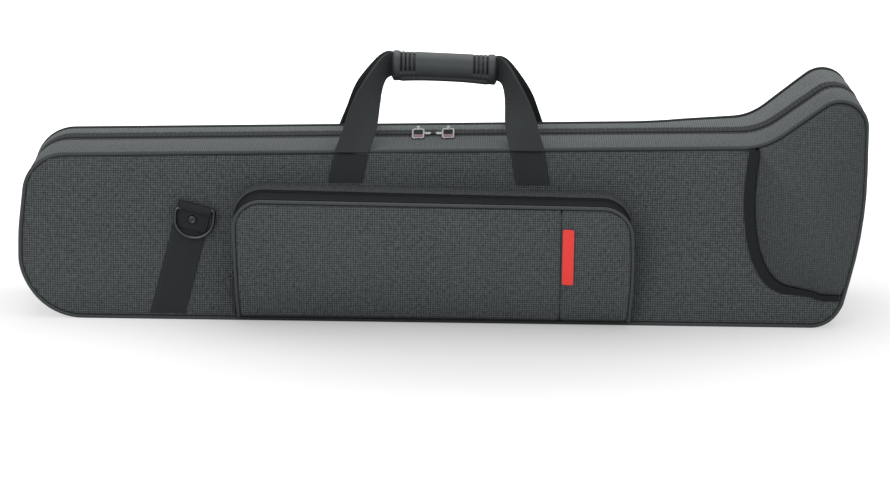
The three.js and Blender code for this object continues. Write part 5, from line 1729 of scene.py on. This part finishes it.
class CASE_OT_sliders(bpy.types.Operator):
    """The two sliders of the main zip with their pulls"""

    bl_idname = "case.sliders"
    bl_label = "Sliders and pulls"

    def execute(self, context):
        for end, word in ENDS:
            piece, bridge = main_slider(f"slider_body_{word}", end)
            dress(piece, finish("bright_plate"), f"zip_slider_{word}", "nickel", f"slider_{word}")
            dress(bridge, finish("black_paint"), f"zip_slider_{word}", "black_steel")
            pull, (inlay, backing) = pull_frame(f"pull_frame_{word}", end)
            dress(pull, finish("bright_plate"), f"zip_pull_{word}", "nickel", f"pull_{word}")
            dress(inlay, finish("pull_inlay"), f"zip_pull_{word}", "rubber")
            dress(backing, finish("pull_backing"), f"zip_pull_{word}", "rubber")
        return {"FINISHED"}


class CASE_OT_pocket_slider(bpy.types.Operator):
    """The small black slider on the pocket's left side, with its pull"""

    bl_idname = "case.pocket_slider"
    bl_label = "Pocket slider"

    def execute(self, context):
        for node, name, body in (("pocket_slider", "pocket_slider_body", "pocket_zip_slider"),
                                 ("pocket_pull", "pocket_pull_tab", "pocket_zip_pull")):
            piece = taken_over(node, name, 0.00045, 3)
            dress(piece, finish("black_paint"), body, "black_steel", node)
        return {"FINISHED"}


def ring_places(prefix):
    """Where a ring hangs: its holder, the tilted tab and the leaning wire"""
    if prefix == "front":
        holder = Matrix.Translation((RING_X, ZIP_Y - FRONT_DEPTH - 0.0022, 0.1272))
    else:
        behind = ZIP_Y + depth_at(REAR, RING_REAR_X) + 0.0003
        holder = Matrix.Translation((RING_REAR_X, behind, RING_PIVOT_Z)) @ Matrix.Rotation(math.pi, 4, "Z")
    tab = holder @ Matrix.Rotation(RING_TILT, 4, "Y")
    wire = holder @ Matrix.Translation((0, -0.0055, 0)) @ Matrix.Rotation(RING_LEAN, 4, "Y")
    return tab, wire


class CASE_OT_rings(bpy.types.Operator):
    """Rings for a shoulder strap: the sewn strap, a riveted webbing tab and a bent wire ring, front and rear"""

    bl_idname = "case.rings"
    bl_label = "Strap rings"

    def execute(self, context):
        face = ZIP_Y - FRONT_DEPTH - 0.0011
        tilt = Vector((math.cos(RING_TILT), 0, -math.sin(RING_TILT))) * WEBBING_HALF
        stations = []
        for k in range(23):
            z = RING_FOOT + (RING_TOP - RING_FOOT) * k / 22
            x = RING_X + (z - RING_PIVOT_Z) * math.tan(RING_TILT)
            stations.append((Vector((x, face, z)), tilt if k else Vector((0.0196, 0, 0)), Vector((0, -0.0008, 0))))
        piece = strap("ring_strap_webbing", stations)
        dress(piece, finish("handle_webbing"), "lid", "webbing", "ring_strap")
        for prefix, (_, body) in SIDES.items():
            tab_place, wire_place = ring_places(prefix)
            path = [(-0.0024, -0.024), (-0.0024, -0.020), (-0.0024, -0.016), (-0.0025, -0.012), (-0.0026, -0.009),
                    (-0.0028, -0.0065), (-0.0031, -0.0045)]
            for k in range(17):
                a = math.radians(-52 - 256 * k / 16)
                path.append((-0.0055 + 0.0031 * math.cos(a), 0.0031 * math.sin(a) + (0.0017 if k > 8 else 0)))
            path += [(-0.0014, 0.0025), (-0.0009, 0.0002), (-0.0008, -0.004), (-0.0008, -0.012), (-0.0008, -0.024)]
            points = [Vector((0, y, z)) for y, z in path]
            stations = []
            for k, p in enumerate(points):
                ahead = heading(points, k)
                out = Vector((0, ahead.z, -ahead.y)) * 0.00075
                stations.append((p, Vector((0.0180, 0, 0)), out))
            tab = strap(f"ring_tab_webbing_{prefix}", eased(stations, 1))
            tab.data.transform(tab_place)
            dress(tab, finish("tab_webbing"), body, "webbing", f"ring_tab_{prefix}")
            profile = [(0.0, 0.0022), (0.0009, 0.0021), (0.0012, 0.0016), (0.0018, 0.0015), (0.0024, 0.0018),
                       (0.0034, 0.0019), (0.0044, 0.0014), (0.0049, 0.0008), (0.0050, 0.0002), (0.0046, 0.0),
                       (0.0, 0.0)]
            stud_place = tab_place @ Matrix.Translation((0, -0.0033, -0.0128)) @ Matrix.Rotation(
                math.radians(90), 4, "X")
            stud = turned(f"ring_stud_{prefix}", profile, stud_place)
            dress(stud, finish("dark_plate"), body, "black_steel", f"ring_rivet_{prefix}")
            bend = RING_HALF * 0.95
            line = rounded_line([(-RING_HALF, 0, 0.004), (RING_HALF, 0, 0.004), (RING_HALF, RING_REACH, bend),
                                 (-RING_HALF, RING_REACH, bend)], arc_steps=12, cuts=[10, 4, 2, 4])
            rows = [[Vector((p.x + p.nx * RING_WIRE * c, RING_WIRE * s, p.z + p.nz * RING_WIRE * c)) for p in line]
                    for c, s in round_section(12)]
            wire = loft(f"ring_wire_{prefix}", rows)
            wire.data.transform(wire_place)
            dress(wire, finish("ring_plate"), f"ring_{prefix}", "black_steel", f"d_ring_{prefix}")
        return {"FINISHED"}


# Inside


class CASE_OT_inside(bpy.types.Operator):
    """Foam shells, plush linings, cradles, box and holder, and the webbing that ties the instrument down"""

    bl_idname = "case.inside"
    bl_label = "Inside"

    def execute(self, context):
        for prefix, (side, body) in SIDES.items():
            def leaned(co):
                return Vector((co.x - lean_in(side, co.x, abs(co.y - ZIP_Y)), co.y, co.z))

            foam = place_all(taken_over(f"{prefix}_foam_shell", f"{prefix}_foam_core", 0.0), leaned)
            dress(foam, finish("shell_foam"), body, "foam", f"{prefix}_foam_shell")
            lining = place_all(taken_over(f"{prefix}_lining", f"{prefix}_plush_lining", 0.0), leaned)
            dress(lining, finish("lining_plush"), body, "plush", f"{prefix}_lining")
        for node, body in (("neck_cradle", "base"), ("bow_cradle", "base"), ("slide_cradle_left", "lid"),
                           ("slide_cradle_right", "lid"), ("mouthpiece_holder", "base")):
            piece = taken_over(node, f"{node}_pad", 0.0022, 3)
            dress(piece, finish("cradle_plush"), body, "plush", node)
        for node, name, body in (("accessory_box", "accessory_tray", "base"),
                                 ("accessory_lid", "accessory_cover", "box_lid")):
            piece = taken_over(node, name, 0.0009, 3)
            dress(piece, finish("box_plush"), body, "plush", node)
        for node, body in (("neck_strap", "neck_tie"), ("slide_strap_left", "slide_tie_left"),
                           ("slide_strap_right", "slide_tie_right")):
            low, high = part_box(node)
            out = FRONT if node == "neck_strap" else REAR
            middle = (low + high) / 2
            stations = [(Vector((middle.x, middle.y, low.z + (high.z - low.z) * k / 20)),
                         Vector(((high.x - low.x) / 2, 0, 0)), Vector((0, out * 0.0007, 0))) for k in range(21)]
            piece = strap(f"{node}_webbing", stations)
            dress(piece, finish("narrow_webbing"), body, "webbing", node)
        return {"FINISHED"}


# Stage


class CASE_OT_stage(bpy.types.Operator):
    """A pale floor with a painted shadow round the case, soft lamps and the camera"""

    bl_idname = "case.stage"
    bl_label = "Stage"

    def execute(self, context):
        scene = context.scene
        pick_nothing()
        bpy.ops.mesh.primitive_plane_add(size=30, location=(0, 0, 0))
        floor = started("floor")
        ground = Finish("floor_white", 0.9, specular=0.0)
        ground.set(colour=(0.80, 0.80, 0.80, 1.0))
        ray = ground.node("ShaderNodeLightPath", {}, {}, 0)
        x, y, _ = ground.place().parts()
        # Painted shadow: camera rays see the floor glow less near the case and fully white far away, over the real
        # shadows on its diffuse part.
        away = (((x - 0.05) * (1 / 0.52)).maths("POWER", 2.0) + (y * (1 / 0.52)).maths("POWER", 2.0)).maths("SQRT")
        glow_with_painted_shadow = away.within(0.38, 1.05) * 0.27 + away.within(1.0, 2.2) * 0.8 + 0.38
        lift = ground.node("ShaderNodeEmission", {}, {"Color": (1, 1, 1, 1), "Strength": glow_with_painted_shadow})
        shadowed = ground.node("ShaderNodeBsdfDiffuse", {}, {"Color": (0.33, 0.33, 0.33, 1.0)})
        seen = ground.node("ShaderNodeAddShader", {}, {0: shadowed, 1: lift})
        plain = Field(ground, ground.shader.outputs[0])
        mixed = ground.node("ShaderNodeMixShader", {}, {0: ray, 1: plain, 2: seen})
        ground.tree.links.new(mixed.socket, ground.tree.nodes["Material Output"].inputs["Surface"])
        floor.data.materials.append(ground.material)

        world = bpy.data.worlds.new("studio")
        scene.world = world
        world.use_nodes = True
        nodes, links = world.node_tree.nodes, world.node_tree.links
        plain = nodes["Background"]
        plain.inputs["Color"].default_value = (1, 1, 1, 1)
        plain.inputs["Strength"].default_value = 0.62
        seen = nodes.new("ShaderNodeBackground")
        seen.inputs["Color"].default_value = (1, 1, 1, 1)
        seen.inputs["Strength"].default_value = 1.0
        path = nodes.new("ShaderNodeLightPath")
        choice = nodes.new("ShaderNodeMixShader")
        share = path.outputs["Is Camera Ray"]
        for ray in ("Is Glossy Ray", "Is Transmission Ray"):
            either = nodes.new("ShaderNodeMath")
            either.operation = "MAXIMUM"
            links.new(share, either.inputs[0])
            links.new(path.outputs[ray], either.inputs[1])
            share = either.outputs[0]
        links.new(share, choice.inputs[0])
        links.new(plain.outputs[0], choice.inputs[1])
        links.new(seen.outputs[0], choice.inputs[2])
        links.new(choice.outputs[0], nodes["World Output"].inputs["Surface"])

        for name, place, target, size, power in (
                ("top_lamp", (0.1, 0.5, 2.4), (0, 0, 0.1), 2.6, 46),
                ("front_lamp", (-1.3, -3.4, 1.6), (0, 0, 0.12), 2.4, 42),
                ("side_lamp", (2.6, -1.6, 1.2), (0.1, 0, 0.12), 1.6, 8)):
            lamp = bpy.data.lights.new(name, "AREA")
            lamp.shape, lamp.size, lamp.energy = "SQUARE", size, power
            lamp_object = bpy.data.objects.new(name, lamp)
            scene.collection.objects.link(lamp_object)
            aim = Vector(target) - Vector(place)
            lamp_object.matrix_world = Matrix.Translation(place) @ aim.to_track_quat("-Z", "Y").to_matrix().to_4x4()

        lens = bpy.data.cameras.new("camera")
        lens.sensor_width = SENSOR_WIDTH
        lens.sensor_fit = "HORIZONTAL"
        lens.lens = FOCAL_PIXELS / PICTURE_WIDTH * SENSOR_WIDTH
        lens.clip_end = 50
        camera = bpy.data.objects.new("camera", lens)
        scene.collection.objects.link(camera)
        pitch, yaw, roll = (math.radians(degrees) for degrees in CAMERA_TURN)
        ahead = Vector((math.sin(yaw) * math.cos(pitch), math.cos(yaw) * math.cos(pitch), -math.sin(pitch)))
        right = Vector((math.cos(yaw), -math.sin(yaw), 0))
        above = right.cross(ahead)
        across = right * math.cos(roll) + above * math.sin(roll)
        upward = above * math.cos(roll) - right * math.sin(roll)
        turn = Matrix((across, upward, -ahead)).transposed().to_4x4()
        camera.matrix_world = Matrix.Translation(CAMERA_PLACE) @ turn
        scene.camera = camera
        scene.view_settings.view_transform = "Standard"
        return {"FINISHED"}


class CASE_PT_sidebar(bpy.types.Panel):
    """Lists the steps and sizes of the case"""

    bl_label = "Trombone case"
    bl_idname = "CASE_PT_sidebar"
    bl_space_type = "VIEW_3D"
    bl_region_type = "UI"
    bl_category = "Case"

    def draw(self, context):
        layout = self.layout
        for settings in (context.scene.case_sizes, context.scene.case_colours):
            column = layout.column(align=True)
            for key in settings.bl_rna.properties.keys():
                if key not in ("rna_type", "name"):
                    column.prop(settings, key)
        column = layout.column(align=True)
        for step in STEPS:
            column.operator(step.bl_idname)


STEPS = (
    CASE_OT_gussets,
    CASE_OT_piping,
    CASE_OT_main_zip,
    CASE_OT_spine,
    CASE_OT_panels,
    CASE_OT_bell_gore,
    CASE_OT_pocket,
    CASE_OT_label,
    CASE_OT_handle,
    CASE_OT_sliders,
    CASE_OT_pocket_slider,
    CASE_OT_rings,
    CASE_OT_inside,
    CASE_OT_stage,
)
CLASSES = (CaseSizes, CaseColours, *STEPS, CASE_PT_sidebar)


def register():
    """Adds the classes and their settings to Blender"""
    for entry in CLASSES:
        bpy.utils.register_class(entry)
    bpy.types.Scene.case_sizes = PointerProperty(type=CaseSizes)
    bpy.types.Scene.case_colours = PointerProperty(type=CaseColours)


def unregister():
    """Takes the classes and their settings out again"""
    del bpy.types.Scene.case_colours
    del bpy.types.Scene.case_sizes
    for entry in reversed(CLASSES):
        bpy.utils.unregister_class(entry)


def main():
    """Registers the classes and runs every step"""
    register()
    for step in STEPS:
        group, name = step.bl_idname.split(".")
        getattr(getattr(bpy.ops, group), name)()
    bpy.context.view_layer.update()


if __name__ == "__main__":
    main()
